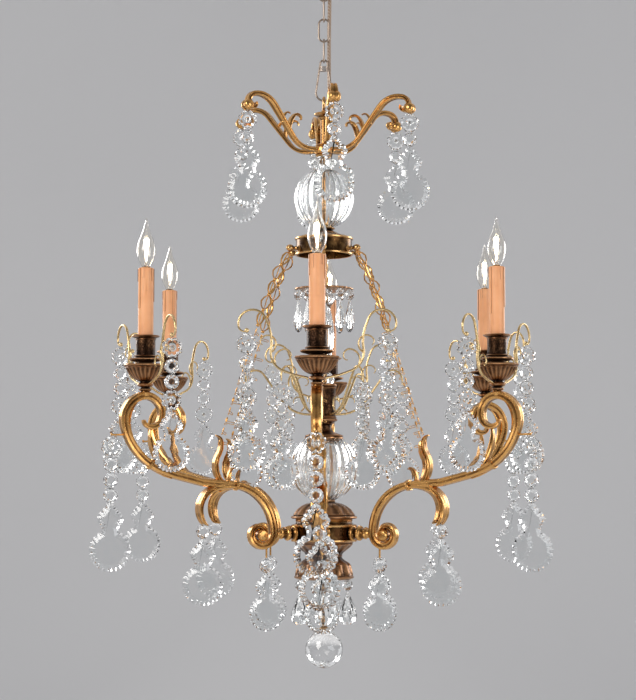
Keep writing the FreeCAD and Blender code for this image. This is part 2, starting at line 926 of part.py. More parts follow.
def make_glass():
    """The cut glass of the column, bored for the stem tube."""
    height, radius = float(size.knop_height), float(size.knop_radius)
    glass("top_knop", knop_top, [(9.0, 0), (radius, height * 0.38), (radius, height * 0.6), (12.0, height)], SLIM_SIDES)
    ball(label="top_ball", top=upper_ball_top, height=size.upper_ball_height, radius=size.upper_ball_radius, middle=0.5)
    ball(label="lower_ball", top=lower_ball_top, height=size.lower_ball_height, radius=size.lower_ball_radius,
         middle=float(size.lower_ball_rise) / float(size.lower_ball_height))
    length, radius = float(size.baluster_length), float(size.baluster_radius)
    shares = [(0.8, 0.0), (1.0, 0.1), (0.6, 0.2), (0.95, 0.48), (0.65, 0.72), (0.5, 0.88), (1.0, 0.95), (1.0, 1.0)]
    glass("glass_baluster", baluster_top, [(radius * r, length * d) for r, d in shares], SLIM_SIDES)


def ball(label, top, height, radius, middle):
    """A ball cut off level at its top and foot, widest at a share of its height from the top."""
    height, radius = float(height), float(radius)
    bands = 6
    cut = float(size.ball_cut) / max(middle, 1 - middle)
    shares = [k / bands for k in range(bands + 1)]
    profile = [(radius * math.sqrt(1 - (cut * (share - middle)) ** 2), height * share) for share in shares]
    glass(label, top, profile, ROUND_SIDES)


def bored(shape):
    """The shape with the stem tube's clear hole through it."""
    box = shape.BoundBox
    across = float(tube_clear) / math.cos(math.pi / BORE_SIDES)
    hole = faceted([(across, box.ZMin - 1), (across, box.ZMax + 1)], BORE_SIDES)
    return shape.cut(hole)


def brass(label, top, profile, sides=WIDE_SIDES):
    glass(label, top, profile, sides)


def make_drum():
    """The upper drum: collar, sloping roof and hollow band, with a knob on a short arm for each swag."""
    wall = float(size.drum_wall)
    collar, radius = float(size.drum_collar_radius), float(size.drum_radius)
    top, low = float(drum_top), float(drum_bottom)
    outer = [
        (radius, low),
        (radius, top),
        (collar, float(drum_roof_top)),
        (collar, float(drum_collar_top)),
    ]
    shell = faceted(outer, WIDE_SIDES).cut(faceted([(radius - wall, low - 1), (radius - wall, top - wall)], WIDE_SIDES))
    shell = bored(shell)
    level = low + float(size.knob_radius) + 3.0
    reach, knob_radius = float(size.knob_reach), float(size.knob_radius)
    knob = faceted([
        (knob_radius * 0.5, level - knob_radius),
        (knob_radius, level),
        (knob_radius * 0.5, level + knob_radius),
    ], 6)
    knob.translate(V(reach, 0, 0))
    bar_start = radius - wall * 0.7
    arm = Part.makeBox(reach - bar_start, 4.0, 4.0, V(bar_start, -2.0, level - 2.0))
    knobs = around(arm.fuse(knob), 6, SIZES["arm_turn"])
    feature("upper_drum", [shell.fuse(knobs)])
    return level


def make_brass_column():
    plate, height = float(size.drop_plate_radius), float(size.drop_plate_height)
    brass("drop_ring", plate_top, [(19.0, 0), (plate, height * 0.5), (plate, height)])
    sleeve, length = float(size.sleeve_radius), float(size.sleeve_length)
    neck, collar_depth = float(size.neck_radius), length + float(size.neck_length)
    brass("column_sleeve", sleeve_top, [
        (sleeve + 2, 0),
        (sleeve + 2, 6),
        (sleeve, 7),
        (sleeve, length - 6),
        (sleeve + 3, length - 3),
        (sleeve + 3, length),
        (neck, length + 5),
        (neck, collar_depth - 5),
        (float(size.collar_radius), collar_depth),
        (float(size.collar_radius), collar_depth + float(size.collar_height)),
    ], ROUND_SIDES)
    dome, height = float(size.dome_radius), float(size.dome_height)
    brass("hub_dome", dome_top, [
        (float(size.dome_top_radius), 0),
        (dome * 0.55, height * 0.2),
        (dome * 0.85, height * 0.62),
        (dome, height * 0.88),
        (dome, height),
    ])
    waist, height = float(size.waist_radius), float(size.waist_height)
    hub = float(size.hub_radius)
    brass("hub_body", waist_top, [
        (waist, 0),
        (waist, height - 1),
        (hub, height),
        (hub, height + float(size.hub_height)),
    ])
    bell, height = float(size.bell_radius), float(size.bell_height)
    foot, dish, drop = float(size.bell_foot_radius), float(size.dish_radius), float(size.dish_height)
    brass("lower_bell", bell_top, [
        (bell, 0),
        (bell, height * 0.2),
        (bell * 0.72, height * 0.6),
        (foot, height),
        (dish * 0.86, height + drop * 0.3),
        (dish, height + drop * 0.6),
        (dish, height + drop - 3),
        (dish - 3, height + drop),
    ])


def make_finial():
    """The facet-cut ball on its rod."""
    radius = float(size.finial_radius)
    centre = float(finial_top) - radius
    profile = [(radius * math.sqrt(1 - s**2), centre + radius * s) for s in FINIAL_LEVELS]
    cut_ball = faceted(profile, CANDLE_SIDES)
    feature("finial_ball", [cut_ball])


# ---------------------------------------------------------------- arms


def make_arms():
    """One casting per arm: volute, arch, hooked leaf, outer scroll, branch, upright leaf and pins."""
    body = new_body("arm_casting", handed_over=False)
    depth, width = size.arm_depth, size.arm_width
    volute, arch = size.volute_radius, size.arch_radius
    foot = (size.arm_start + volute, hub_level - volute + size.arm_lift)
    crest = (size.arm_start + arch, hub_level + arch + size.arm_lift)
    arch_moves = [(volute, -90.0), (arch, -90.0), (size.shoulder_radius, -size.shoulder_turn)]
    arch_stops = bar(body, "arch", foot, 180.0, arch_moves, depth, width)
    shoulder = arch_stops[-1]
    hook_moves = [(size.hook_radius, -size.hook_turn)]
    hook_stops = bar(body, "hook_leaf", shoulder, -size.shoulder_turn, hook_moves,
                     size.hook_leaf_depth, size.hook_leaf_width, size.tip_depth)
    scroll_moves = [
        (size.sweep_radius, size.sweep_turn),
        (size.sweep_run,),
        (size.rise_radius, size.rise_turn),
        (size.top_radius, size.top_turn),
        (size.curl_radius, size.curl_turn),
    ]
    scroll_stops = bar(body, "scroll", crest, 0.0, scroll_moves, depth, width, size.arm_depth * 0.7)
    branch_start = (crest[0] + size.branch_start, crest[1] + size.branch_rise)
    bar(body, "branch", branch_start, 30.0, [(size.branch_radius, size.branch_turn)],
        size.branch_depth, size.branch_width, 3.0)
    leaf_start = (crest[0] + size.leaf_start, crest[1])
    leaf_moves = [(size.leaf_radius, size.leaf_turn), (size.leaf_tip_radius, size.leaf_tip_turn)]
    leaf_stops = bar(body, "leaf", leaf_start, 35.0, leaf_moves, size.leaf_depth, size.leaf_width, 3.0)
    across = V(0, 1, 0)
    nipple_length = size.arm_start - size.hub_radius
    nipple_middle = ((size.arm_start + size.hub_radius) / 2, hub_level)
    prism(body, "nipple", size.arm_nipple_radius, nipple_length, nipple_middle, V(1, 0, 0))
    flange_place = (size.hub_radius + 12.0, hub_level)
    prism(body, "flange", size.arm_nipple_flange, 5.0, flange_place, V(1, 0, 0))
    knob_place = (foot[0], foot[1] + size.arm_depth / 2 + size.volute_knob * 0.85)
    prism(body, "volute_eye", size.volute_knob, size.volute_knob_width, knob_place, across)
    top = max(scroll_stops, key=lambda stop: float(stop[1]))
    seat = (size.candle_reach, top[1] + size.arm_depth / 2 + size.seat_rise)
    prism(body, "pedestal", size.pedestal_radius, size.pedestal_height * 2,
          (seat[0], seat[1] - size.pedestal_height), UP)
    outer_low = (size.outer_pin_start, crest[1] + size.outer_pin_level)
    outer_high = (size.outer_pin_end, outer_low[1] + size.pin_width)
    block(body, "outer_pin", outer_low, outer_high)
    volute_high = (foot[0] - 9.0 + size.pin_width / 2, foot[1])
    volute_low = (volute_high[0] - size.pin_width, foot[1] - size.arm_depth / 2 - size.volute_pin_length)
    block(body, "volute_pin", volute_low, volute_high)
    ring_of("scroll_arms", body, 6, SIZES["arm_turn"])
    outer = (outer_high[0] - size.pin_width / 2, outer_low[1])
    low = (volute_low[0] + size.pin_width / 2, volute_low[1])
    return seat, hook_stops[-1], leaf_stops[-1], outer, low


def make_crown():
    """Six curled arms on a small hub; each ends in a rolled knob that a strand hangs from."""
    body = new_body("crown_casting", handed_over=False)
    width = size.crown_width
    start = (size.crown_hub_radius - 4, crown_level)
    moves = [
        (size.crown_foot_run,),
        (size.crown_foot_radius, size.crown_foot_turn),
        (size.crown_rise_run,),
        (size.crown_bow_radius, -size.crown_bow_turn),
        (size.crown_tip_radius, -size.crown_tip_turn),
    ]
    stops = bar(body, "crown_arm", start, 0.0, moves, size.crown_depth, width, size.crown_depth * 0.7)
    knob_place = (stops[-1][0] + 1.0, stops[-1][1] - 3.0)
    prism(body, "crown_knob", size.crown_knob_radius, size.crown_knob_width, knob_place, V(0, 1, 0))
    sprout_moves = [(size.sprout_radius, size.sprout_turn)]
    bar(body, "sprout", (stops[2][0], stops[2][1]), 80.0, sprout_moves, size.sprout_depth, width, 3.0)
    doc.recompute()
    arms = around(body.Shape, 6, SIZES["crown_turn"])
    height, radius = float(size.crown_hub_height), float(size.crown_hub_radius)
    hub = faceted([(radius, float(crown_top) - height), (radius, float(crown_top))], SLIM_SIDES)
    feature("crown_arms", [bored(hub.fuse(arms))])
    return knob_place


# ---------------------------------------------------------------- candles


def make_candles(seat):
    """Bowls, cups, sleeves, lamp holders and bulbs, stacked on the arms' pedestals."""
    reach, level = (float(s) for s in seat)
    knuckle = level + float(size.bowl_knuckle_rise)
    bowl_top = level + float(size.bowl_rise) + float(size.bowl_rim)
    bowl = [
        (size.bowl_foot_radius, level),
        (size.bowl_knuckle_radius, knuckle),
        (size.bowl_knuckle_radius * 0.85, knuckle + 5.0),
        (size.bowl_radius, bowl_top - float(size.bowl_rim)),
        (size.bowl_radius, bowl_top),
    ]
    saucer_top = bowl_top + float(size.saucer_rise) + float(size.saucer_rim)
    cup_top = saucer_top + float(size.cup_height)
    cup = [
        (size.cup_radius * 0.8, bowl_top),
        (size.saucer_radius, bowl_top + float(size.saucer_rise)),
        (size.saucer_radius, saucer_top),
        (size.cup_radius, saucer_top + 2.0),
        (size.cup_radius, cup_top - float(size.cup_lip)),
        (size.cup_lip_radius, cup_top),
    ]
    candle_top = cup_top + float(size.candle_height)
    sleeve = faceted([(size.candle_radius, cup_top), (size.candle_radius, candle_top)], CANDLE_SIDES)
    bore = faceted([(size.candle_bore, cup_top), (size.candle_bore, candle_top)], CANDLE_SIDES)
    holder_top = cup_top + float(size.holder_height)
    holder = [(size.holder_radius, cup_top), (size.holder_radius, holder_top)]
    base = holder_top + float(size.seat_gap)
    belly = base + float(size.bulb_neck_length) + float(size.bulb_belly_rise)
    bulb = [
        (size.bulb_neck_radius, base),
        (size.bulb_neck_radius, base + float(size.bulb_neck_length)),
        (size.bulb_radius, belly),
        (size.bulb_radius * 0.68, belly + 19.0),
        (0, base + float(size.bulb_height)),
    ]
    pieces = {
        "candle_bowls": faceted(bowl, CANDLE_SIDES),
        "candle_cups": faceted(cup, 8),
        "candle_sleeves": sleeve.cut(bore),
        "lamp_holders": faceted(holder, 8),
        "bulbs": faceted(bulb, 8),
    }
    for label, shape in pieces.items():
        ring_of(label, piece(label[:-1] + "_piece", [shape]), 6, SIZES["arm_turn"], reach)
    return knuckle


def make_lyres(seat, knuckle):
    """A bent wire on each side of a bowl's knuckle, rising and turning over to a hook."""
    reach = float(seat[0])
    wire = float(size.lyre_wire)
    moves = [
        (size.lyre_base_radius, size.lyre_base_turn),
        (size.lyre_corner_radius, size.lyre_corner_turn),
        (size.lyre_side_radius, -size.lyre_side_turn),
        (size.lyre_side_run,),
        (size.lyre_bow_radius, -size.lyre_bow_turn),
        (size.lyre_hook_radius, -size.lyre_hook_turn),
    ]
    start = (float(size.bowl_knuckle_radius + size.seat_gap), knuckle)
    half = trace(start, size.lyre_start_turn, moves, WIRE_STEP)
    wires = []
    for side in (1, -1):
        wires.append(upright(bar_along([V(p.x * side, p.y, 0) for p in half], wire, wire)))
        wires[-1].rotate(ORIGIN, UP, 90)
    pair = piece("candle_scroll_pair", wires)
    ring_of("candle_scrolls", pair, 6, SIZES["arm_turn"], reach)
    lowest = min(half[-4:], key=lambda p: p.y)
    return reach, lowest.x, lowest.y - wire / 2


def make_column_hooks():
    """Six bent wires that rise from the sleeve and turn over, between the arms."""
    wire = float(size.hook_wire)
    start = (float(size.sleeve_radius + size.seat_gap), float(neck_top) + 9.0)
    moves = [
        (6.0,),
        (size.hook_foot_radius, size.hook_foot_turn),
        (size.hook_rise_run,),
        (size.hook_bow_radius, -size.hook_bow_turn),
        (size.hook_tail_run,),
    ]
    points = trace(start, 0.0, moves, WIRE_STEP)
    source = piece("column_hook", [upright(bar_along(points, wire, wire))])
    ring_of("column_hooks", source, 6, SIZES["arm_turn"] + 30.0)
    return points[-1]


# ---------------------------------------------------------------- crystals


def gem(outline, apex):
    """A cut stone: its outline in the XY plane, and a point on each side along Z."""
    front, back = V(0, 0, apex), V(0, 0, -apex)
    polygons = []
    for k, spot in enumerate(outline):
        after = outline[(k + 1) % len(outline)]
        polygons.append([spot, after, front])
        polygons.append([after, spot, back])
    return upright(solid_of(polygons))


def round_outline(radii, count, turn):
    angles = [math.tau * (k + turn) / count for k in range(count)]
    return [V(radii[k % len(radii)] * math.cos(a), radii[k % len(radii)] * math.sin(a), 0)
            for k, a in enumerate(angles)]


def rosette():
    return octagon(size.rosette_radius, size.rosette_thick)


def octagon(radius, thick):
    across = float(radius) / math.cos(math.pi / 8)
    return gem(round_outline((across,), 8, 0.5), float(thick) / 2)


def plate(length, width):
    """A pear-shaped pendant: a flat back and a front that rises to a point; it hangs from the origin."""
    length, width = float(length), float(width)
    right = [V(width * x, -length * y, 0) for x, y in PLATE_OUTLINE]
    outline = [V(-p.x, p.y, 0) for p in right[::-1]] + right
    apex = V(0, -length * PLATE_PEAK, float(size.plate_thick))
    polygons = [outline]
    for k, spot in enumerate(outline):
        polygons.append([spot, outline[(k + 1) % len(outline)], apex])
    return upright(solid_of(polygons))


def hanging(stones):
    """Stones hung under each other: (shape, height, hangs from its top) from the origin down."""
    gap = float(size.bead_gap)
    level = -float(size.hang_gap)
    strand = []
    for shape, height, from_top in stones:
        strand.append(placed(shape, 0, 0, level if from_top else level - height / 2))
        level -= height + gap
    return strand


def strand_of(names, large):
    """A strand from its stones' names, R rosette, O octagon and P plate."""
    stones = []
    for name in names:
        if name == "R":
            stones.append((rosette(), 2 * float(size.rosette_radius), False))
        elif name == "O":
            octagonal = octagon(size.octagon_radius, size.octagon_thick)
            stones.append((octagonal, 2 * float(size.octagon_radius), False))
        elif large:
            stones.append((plate(size.plate_length, size.plate_width), float(size.plate_length), True))
        else:
            small = plate(size.small_plate_length, size.small_plate_width)
            stones.append((small, float(size.small_plate_length), True))
    return hanging(stones)


def on_ring(reach, degrees, aside=0.0):
    """The place at a reach from the axis, at an azimuth, and so far aside from it."""
    angle = math.radians(degrees)
    ahead = V(math.sin(angle), -math.cos(angle), 0)
    beside = V(math.cos(angle), math.sin(angle), 0)
    return ahead * reach + beside * aside


def hang_strands(label, names, large, reach, level, first):
    """Six strands, each a sub-part of its own, all facing the front."""
    for k in range(6):
        place = on_ring(float(reach), first + 60.0 * k)
        place.z = float(level)
        placement = FreeCAD.Placement(place, FreeCAD.Rotation(UP, FRONT))
        feature(f"{label}_{k + 1}", strand_of(names, large), placement)


def hang_lyre_strands(outward, aside, level):
    """The two strands of each lyre swing together, and are one sub-part."""
    for k in range(6):
        degrees = SIZES["arm_turn"] + 60.0 * k
        middle = on_ring(outward, degrees)
        middle.z = level
        solids = []
        for side in (-1, 1):
            shift = on_ring(0.0, degrees, aside * side)
            solids += [placed(s, shift.x, shift.y, 0) for s in strand_of("ROORP", False)]
        feature(f"candle_strands_{k + 1}", solids, FreeCAD.Placement(middle, FreeCAD.Rotation()))


def hang_column_strands(hook_end):
    solids = []
    for k in range(6):
        place = on_ring(hook_end.x, SIZES["arm_turn"] + 30.0 + 60.0 * k)
        solids += [placed(s, place.x, place.y, hook_end.y) for s in strand_of("ROOP", False)]
    feature("column_strands", solids)


def hang_small_drops():
    """The drops under the ring inside the cage, and those under the bottom dish."""
    almond = faceted([
        (0, -float(size.almond_length)),
        (float(size.almond_width) / 2, -float(size.almond_length) * 0.62),
        (0, 0),
    ], 5)
    small = octagon(size.small_octagon_radius, size.small_octagon_thick)
    pair = [(small, 2 * float(size.small_octagon_radius), False), (almond, float(size.almond_length), True)]
    solids = []
    count = int(SIZES["top_drop_count"])
    for k in range(count):
        place = on_ring(float(size.drop_plate_radius) - 4.0, 360.0 * k / count)
        solids += [placed(s, place.x, place.y, float(baluster_top)) for s in hanging(pair)]
    feature("top_drops", solids)
    width, length = float(size.teardrop_width) / 2, float(size.teardrop_length)
    teardrop = faceted([
        (0, -length),
        (width * 0.68, -length * 0.93),
        (width, -length * 0.7),
        (0, 0),
    ], 6)
    bead_radius = float(size.bead_radius)
    bead = faceted([(0, -bead_radius), (bead_radius, 0), (0, bead_radius)], 6)
    pair = [(bead, 2 * bead_radius, False), (teardrop, length, True)]
    solids = []
    count = int(SIZES["bottom_drop_count"])
    for k in range(count):
        place = on_ring(float(size.bottom_ring_radius), SIZES["arm_turn"] + 360.0 * k / count)
        solids += [placed(s, place.x, place.y, float(dish_bottom)) for s in hanging(pair)]
    feature("bottom_drops", solids)


# ---------------------------------------------------------------- swags


def make_swags(knob_level, leaf_tip):
    """Pierced husks and fine links from each knob of the drum down to an arm's leaf."""
    start = V(float(size.knob_reach), float(knob_level) - float(size.knob_radius) - 0.4, 0)
    end = V(float(leaf_tip[0]), float(leaf_tip[1]) + 2.5, 0)
    chord = end - start
    outward = V(-chord.y, chord.x, 0).normalize()
    if outward.x < 0:
        outward = outward * -1
    bow = float(size.swag_bow)

    def spot(share):
        return start + chord * share + outward * (bow * math.sin(math.pi * math.sqrt(share)))

    husks, links = int(SIZES["husk_count"]), int(SIZES["swag_link_count"])
    share = float(size.husk_share)
    stops = [spot(share * k / husks) for k in range(husks)]
    stops += [spot(share + (1 - share) * k / links) for k in range(links + 1)]
    solids = []
    for k, (first, second) in enumerate(zip(stops, stops[1:])):
        along = second - first
        middle = (first + second) * 0.5
        half = along.Length / 2 - 0.2
        ahead = along.normalize()
        aside = V(-ahead.y, ahead.x, 0)
        if k < husks:
            solids.append(husk(middle, ahead, aside, half))
        else:
            solids.append(fine_link(middle, ahead, aside, half))
    swag = piece("swag_chain", [upright(solid) for solid in solids])
    ring_of("swag_chains", swag, 6, SIZES["arm_turn"])


def husk(middle, ahead, aside, half):
    """A pierced husk: an open lozenge of flat bar."""
    width = float(size.husk_width) / 2
    bar = float(size.husk_bar)
    inner_half = half - bar * 1.6
    inner_width = width - bar * 1.3
    outlines = []
    for reach, spread in ((half, width), (inner_half, inner_width)):
        outlines.append([
            middle + ahead * reach,
            middle + aside * spread,
            middle - ahead * reach,
            middle - aside * spread,
        ])
    shape = framed(*outlines).extrude(V(0, 0, bar))
    shape.translate(V(0, 0, -bar / 2))
    return shape


def fine_link(middle, ahead, aside, half):
    """A slim link, pointed at both ends."""
    width = float(size.swag_link_width) / 2
    outline = [middle + ahead * half, middle + aside * width, middle - ahead * half, middle - aside * width]
    polygons = []
    for k, corner in enumerate(outline):
        after = outline[(k + 1) % 4]
        polygons.append([corner, after, middle + V(0, 0, 1.4)])
        polygons.append([after, corner, middle - V(0, 0, 1.4)])
    return solid_of(polygons)


# ---------------------------------------------------------------- assembly


def make_all():
    make_canopy()
    make_mounting_bar()
    make_canopy_loop()
    make_chain()
    make_cord()
    make_stem()
    make_glass()
    knob_level = make_drum()
    make_brass_column()
    make_finial()
    seat, hook_end, leaf_tip, outer, low = make_arms()
    crown_knob = make_crown()
    knuckle = make_candles(seat)
    outward, aside, hook_low = make_lyres(seat, knuckle)
    column_hook = make_column_hooks()
    hang_column_strands(column_hook)
    hang_small_drops()
    make_swags(knob_level, leaf_tip)
    crown_low = crown_knob[1] - size.crown_knob_radius * cosine(30.0)
    hang_strands("crown_strand", "ROP", True, crown_knob[0], crown_low, SIZES["crown_turn"])
    hang_strands("outer_strand", "ROOOP", True, outer[0], outer[1], SIZES["arm_turn"])
    leaf_reach, leaf_low = hook_end[0] + size.tip_depth * 0.38, hook_end[1] - size.tip_depth * 0.33
    hang_strands("leaf_pendant", "OP", True, leaf_reach, leaf_low, SIZES["arm_turn"])
    hang_strands("volute_pendant", "OP", False, low[0], low[1], SIZES["arm_turn"])
    hang_lyre_strands(outward, aside, hook_low)
    print("swing level of the stem ring", float(swing_level))
    print("hooks", [round(float(s), 2) for s in (*crown_knob, crown_low, *outer, *hook_end[:2], *low)])
    print("lyre", round(outward, 2), round(aside, 2), round(hook_low, 2))
    print("levels", {k: round(float(v), 2) for k, v in globals().items() if isinstance(v, Size)})


def write_parts():
    """Checks every object, then writes each sub-part's STEP file."""
    doc.recompute()
    for item in doc.Objects:
        states = set(item.State) & {"Invalid", "Error"}
        if states:
            raise RuntimeError(f"{item.Label} is {states}")
    faulty = [i.Label for i in sub_parts if i.Shape.isNull() or not i.Shape.isValid()]
    if faulty:
        raise RuntimeError(f"no valid shape: {faulty}")
    os.makedirs("parts", exist_ok=True)
    for item in sub_parts:
        item.Shape.exportStep(f"parts/{item.Label}.step")


make_all()
write_parts()
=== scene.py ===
import json
import math
import bmesh
import bpy
import mathutils
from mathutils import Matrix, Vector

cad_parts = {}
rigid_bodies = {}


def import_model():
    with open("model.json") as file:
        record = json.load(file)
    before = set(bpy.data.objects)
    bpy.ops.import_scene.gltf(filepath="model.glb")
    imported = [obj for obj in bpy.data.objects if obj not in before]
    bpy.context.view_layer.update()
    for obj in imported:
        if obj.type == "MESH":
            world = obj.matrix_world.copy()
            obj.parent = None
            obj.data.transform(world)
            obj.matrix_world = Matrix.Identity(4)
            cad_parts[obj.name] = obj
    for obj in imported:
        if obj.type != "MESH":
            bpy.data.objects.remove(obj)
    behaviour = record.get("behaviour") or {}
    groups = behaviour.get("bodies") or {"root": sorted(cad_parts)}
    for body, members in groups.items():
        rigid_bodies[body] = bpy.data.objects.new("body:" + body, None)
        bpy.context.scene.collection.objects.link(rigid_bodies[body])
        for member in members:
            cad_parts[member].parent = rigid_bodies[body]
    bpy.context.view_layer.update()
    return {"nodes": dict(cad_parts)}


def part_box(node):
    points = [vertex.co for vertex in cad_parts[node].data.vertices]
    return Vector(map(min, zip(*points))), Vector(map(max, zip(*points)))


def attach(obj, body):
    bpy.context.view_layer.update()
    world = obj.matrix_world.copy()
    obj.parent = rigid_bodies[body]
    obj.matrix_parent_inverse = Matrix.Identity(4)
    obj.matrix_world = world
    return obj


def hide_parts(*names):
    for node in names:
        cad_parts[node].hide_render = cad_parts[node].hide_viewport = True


# Crystal chandelier: cast brass arms and crown, engraved cups, wax-look candles and cut crystal.
# Sizes in the dictionaries are in millimetres; the frame is in metres, ceiling at z 0, front at -Y.

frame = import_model()
nodes = frame["nodes"]
mm = 0.001

# ---- camera

viewpoint = {"place": (-0.0093, -2.781, -0.914), "tilt": 94.53, "lens": 92.26}

bpy.ops.object.select_all(action='DESELECT')
cameraData = bpy.data.cameras.new("camera")
cameraData.sensor_fit = 'VERTICAL'
cameraData.sensor_height = 36.0
cameraData.lens = viewpoint["lens"]
camera = bpy.data.objects.new("camera", cameraData)
camera.location = viewpoint["place"]
camera.rotation_euler = (math.radians(viewpoint["tilt"]), 0, 0)
bpy.context.scene.collection.objects.link(camera)
bpy.context.scene.camera = camera
bpy.context.scene.view_settings.view_transform = 'Standard'
print("camera set")


# ---- hand tools: small wrappers round the edit-mode operators

def freshStart():
    if bpy.context.mode != 'OBJECT':
        bpy.ops.object.mode_set(mode='OBJECT')
    bpy.ops.object.select_all(action='DESELECT')


def hold(*shapes):
    freshStart()
    for shape in shapes:
        shape.select_set(True)
    bpy.context.view_layer.objects.active = shapes[0]


def settle(shape):
    # the place, turn and scale go into the mesh
    hold(shape)
    bpy.ops.object.transform_apply(location=True, rotation=True, scale=True)
    return shape


def openMesh(shape):
    hold(shape)
    bpy.ops.object.mode_set(mode='EDIT')
    bpy.ops.mesh.select_mode(type='VERT')


def pickVerts(shape, rule):
    # in edit mode: selects the points for which rule(co) holds, and what they enclose
    mesh = bmesh.from_edit_mesh(shape.data)
    for vert in mesh.verts:
        vert.select = bool(rule(vert.co))
    mesh.select_flush(True)
    mesh.select_flush(False)
    bmesh.update_edit_mesh(shape.data)
    return sum(vert.select for vert in mesh.verts)


def pickFaces(shape, rule):
    # in edit mode: selects the faces for which rule(centre, normal) holds
    mesh = bmesh.from_edit_mesh(shape.data)
    bpy.ops.mesh.select_mode(type='FACE')
    for face in mesh.faces:
        face.select = bool(rule(face.calc_center_median(), face.normal))
    mesh.select_flush(False)
    bmesh.update_edit_mesh(shape.data)


def closeMesh(merge=0.000002, facing=True):
    bpy.ops.mesh.select_mode(type='VERT')
    bpy.ops.mesh.select_all(action='SELECT')
    bpy.ops.mesh.remove_doubles(threshold=merge)
    if facing:
        bpy.ops.mesh.normals_make_consistent(inside=False)
    bpy.ops.object.mode_set(mode='OBJECT')


def grow(depthRatio, widthRatio, heightRatio, centre):
    bpy.ops.transform.resize(value=(depthRatio, widthRatio, heightRatio), center_override=centre)


def turnAboutY(degrees, centre):
    # with no window the operator turns the other way round
    bpy.ops.transform.rotate(value=-math.radians(degrees), orient_axis='Y', center_override=centre)


def pushOut(step):
    bpy.ops.mesh.extrude_region_move(TRANSFORM_OT_translate={"value": step})


def smoothOff(shape, angle=32.0):
    hold(shape)
    bpy.ops.object.shade_smooth_by_angle(angle=math.radians(angle))


def turned(name, profile, sides=48, hollow=False):
    # a turned shape: (radius, height) from its first edge on; a hollow one comes back to its start
    freshStart()
    radius, height = profile[0]
    fill = 'NOTHING' if hollow else 'NGON'
    bpy.ops.mesh.primitive_circle_add(vertices=sides, radius=radius * mm, fill_type=fill,
                                      location=(0, 0, height * mm))
    shape = settle(bpy.context.object)
    shape.name = name
    openMesh(shape)
    bpy.ops.mesh.select_all(action='SELECT')
    for (lastRadius, lastHeight), (radius, height) in zip(profile, profile[1:]):
        pushOut((0, 0, (height - lastHeight) * mm))
        ratio = radius / lastRadius
        grow(ratio, ratio, 1, (0, 0, height * mm))
    closeMesh()
    return shape


def ribbed(shape, ribs, sides, depth, low, high, inside=0.0, sharp=False):
    # presses the hollows between ribs in, over the band between two heights
    openMesh(shape)
    each = sides // ribs

    def place(co):
        return round(math.atan2(co.y, co.x) / math.tau * sides) % each

    def within(co):
        return low * mm <= co.z <= high * mm and math.hypot(co.x, co.y) > inside * mm

    for step in range(each // 2):
        share = (1 + math.cos(math.tau * step / each)) / 2
        if sharp:
            share = (1 - 2 * step / each) ** 2
        if share <= 0:
            continue
        pickVerts(shape, lambda co: within(co) and place(co) in (step, (each - step) % each))
        grow(1 - depth * share, 1 - depth * share, 1, (0, 0, (low + high) / 2 * mm))
    bpy.ops.object.mode_set(mode='OBJECT')
    return shape


def walk(start, heading, moves, step=9.0):
    # stops (x, z, heading) along straight runs (length,) and turns (radius, degrees)
    x, z = start
    stops = [(x, z, heading)]
    for move in moves:
        if len(move) == 1:
            parts = max(1, round(move[0] / 14.0))
            for _ in range(parts):
                x += move[0] / parts * math.cos(math.radians(heading))
                z += move[0] / parts * math.sin(math.radians(heading))
                stops.append((x, z, heading))
            continue
        radius, turn = move
        parts = max(2, round(abs(turn) / step))
        bend = turn / parts
        chord = 2 * radius * math.sin(math.radians(abs(bend) / 2))
        for _ in range(parts):
            x += chord * math.cos(math.radians(heading + bend / 2))
            z += chord * math.sin(math.radians(heading + bend / 2))
            heading += bend
            stops.append((x, z, heading))
    return stops


def between(points, share):
    # reads a list of (share, value...) by straight lines
    for first, second in zip(points, points[1:]):
        if share <= second[0]:
            part = (share - first[0]) / max(second[0] - first[0], 1e-9)
            return [a + (b - a) * part for a, b in zip(first[1:], second[1:])]
    return list(points[-1][1:])


def swept(name, stops, section, sides=16, groove=0.0, corner=0.0, closed=False, notch=0.0):
    # a bar along stops; section is a list of (share, depth, width)
    lengths = [0.0]
    for first, second in zip(stops, stops[1:]):
        lengths.append(lengths[-1] + math.dist(first[:2], second[:2]))
    freshStart()
    fill = 'NOTHING' if closed else 'NGON'
    bpy.ops.mesh.primitive_circle_add(vertices=sides, radius=0.5 * mm, fill_type=fill, location=(0, 0, 0))
    shape = bpy.context.object
    shape.name = name
    openMesh(shape)

    def eighth(co):
        return round(math.atan2(co.y, co.x) / math.tau * 8 * 1000) / 1000 % 2

    if groove:
        pickVerts(shape, lambda co: eighth(co) in (0.0, 2.0))
        grow(1 - groove, 1 - groove, 1, (0, 0, 0))
    if corner:
        pickVerts(shape, lambda co: eighth(co) == 1.0)
        grow(1 + corner, 1 + corner, 1, (0, 0, 0))
    bpy.ops.mesh.select_all(action='SELECT')
    x, z, heading = stops[0]
    depth, width = between(section, 0.0)
    grow(depth, width, 1, (0, 0, 0))
    turnAboutY(90 - heading, (0, 0, 0))
    bpy.ops.transform.translate(value=(x * mm, 0, z * mm))
    for index, stop in enumerate(stops[1:], 1):
        pushOut(((stop[0] - x) * mm, 0, (stop[1] - z) * mm))
        centre = (stop[0] * mm, 0, stop[1] * mm)
        turnAboutY(heading - stop[2], centre)
        nextDepth, nextWidth = between(section, lengths[index] / lengths[-1])
        if notch and index % 2 and index < len(stops) - 1:
            nextWidth *= 1 - notch
        grow(nextDepth / depth, nextWidth / width, nextDepth / depth, centre)
        x, z, heading = stop
        depth, width = nextDepth, nextWidth
    closeMesh(merge=0.00002 if closed else 0.000002)
    return shape


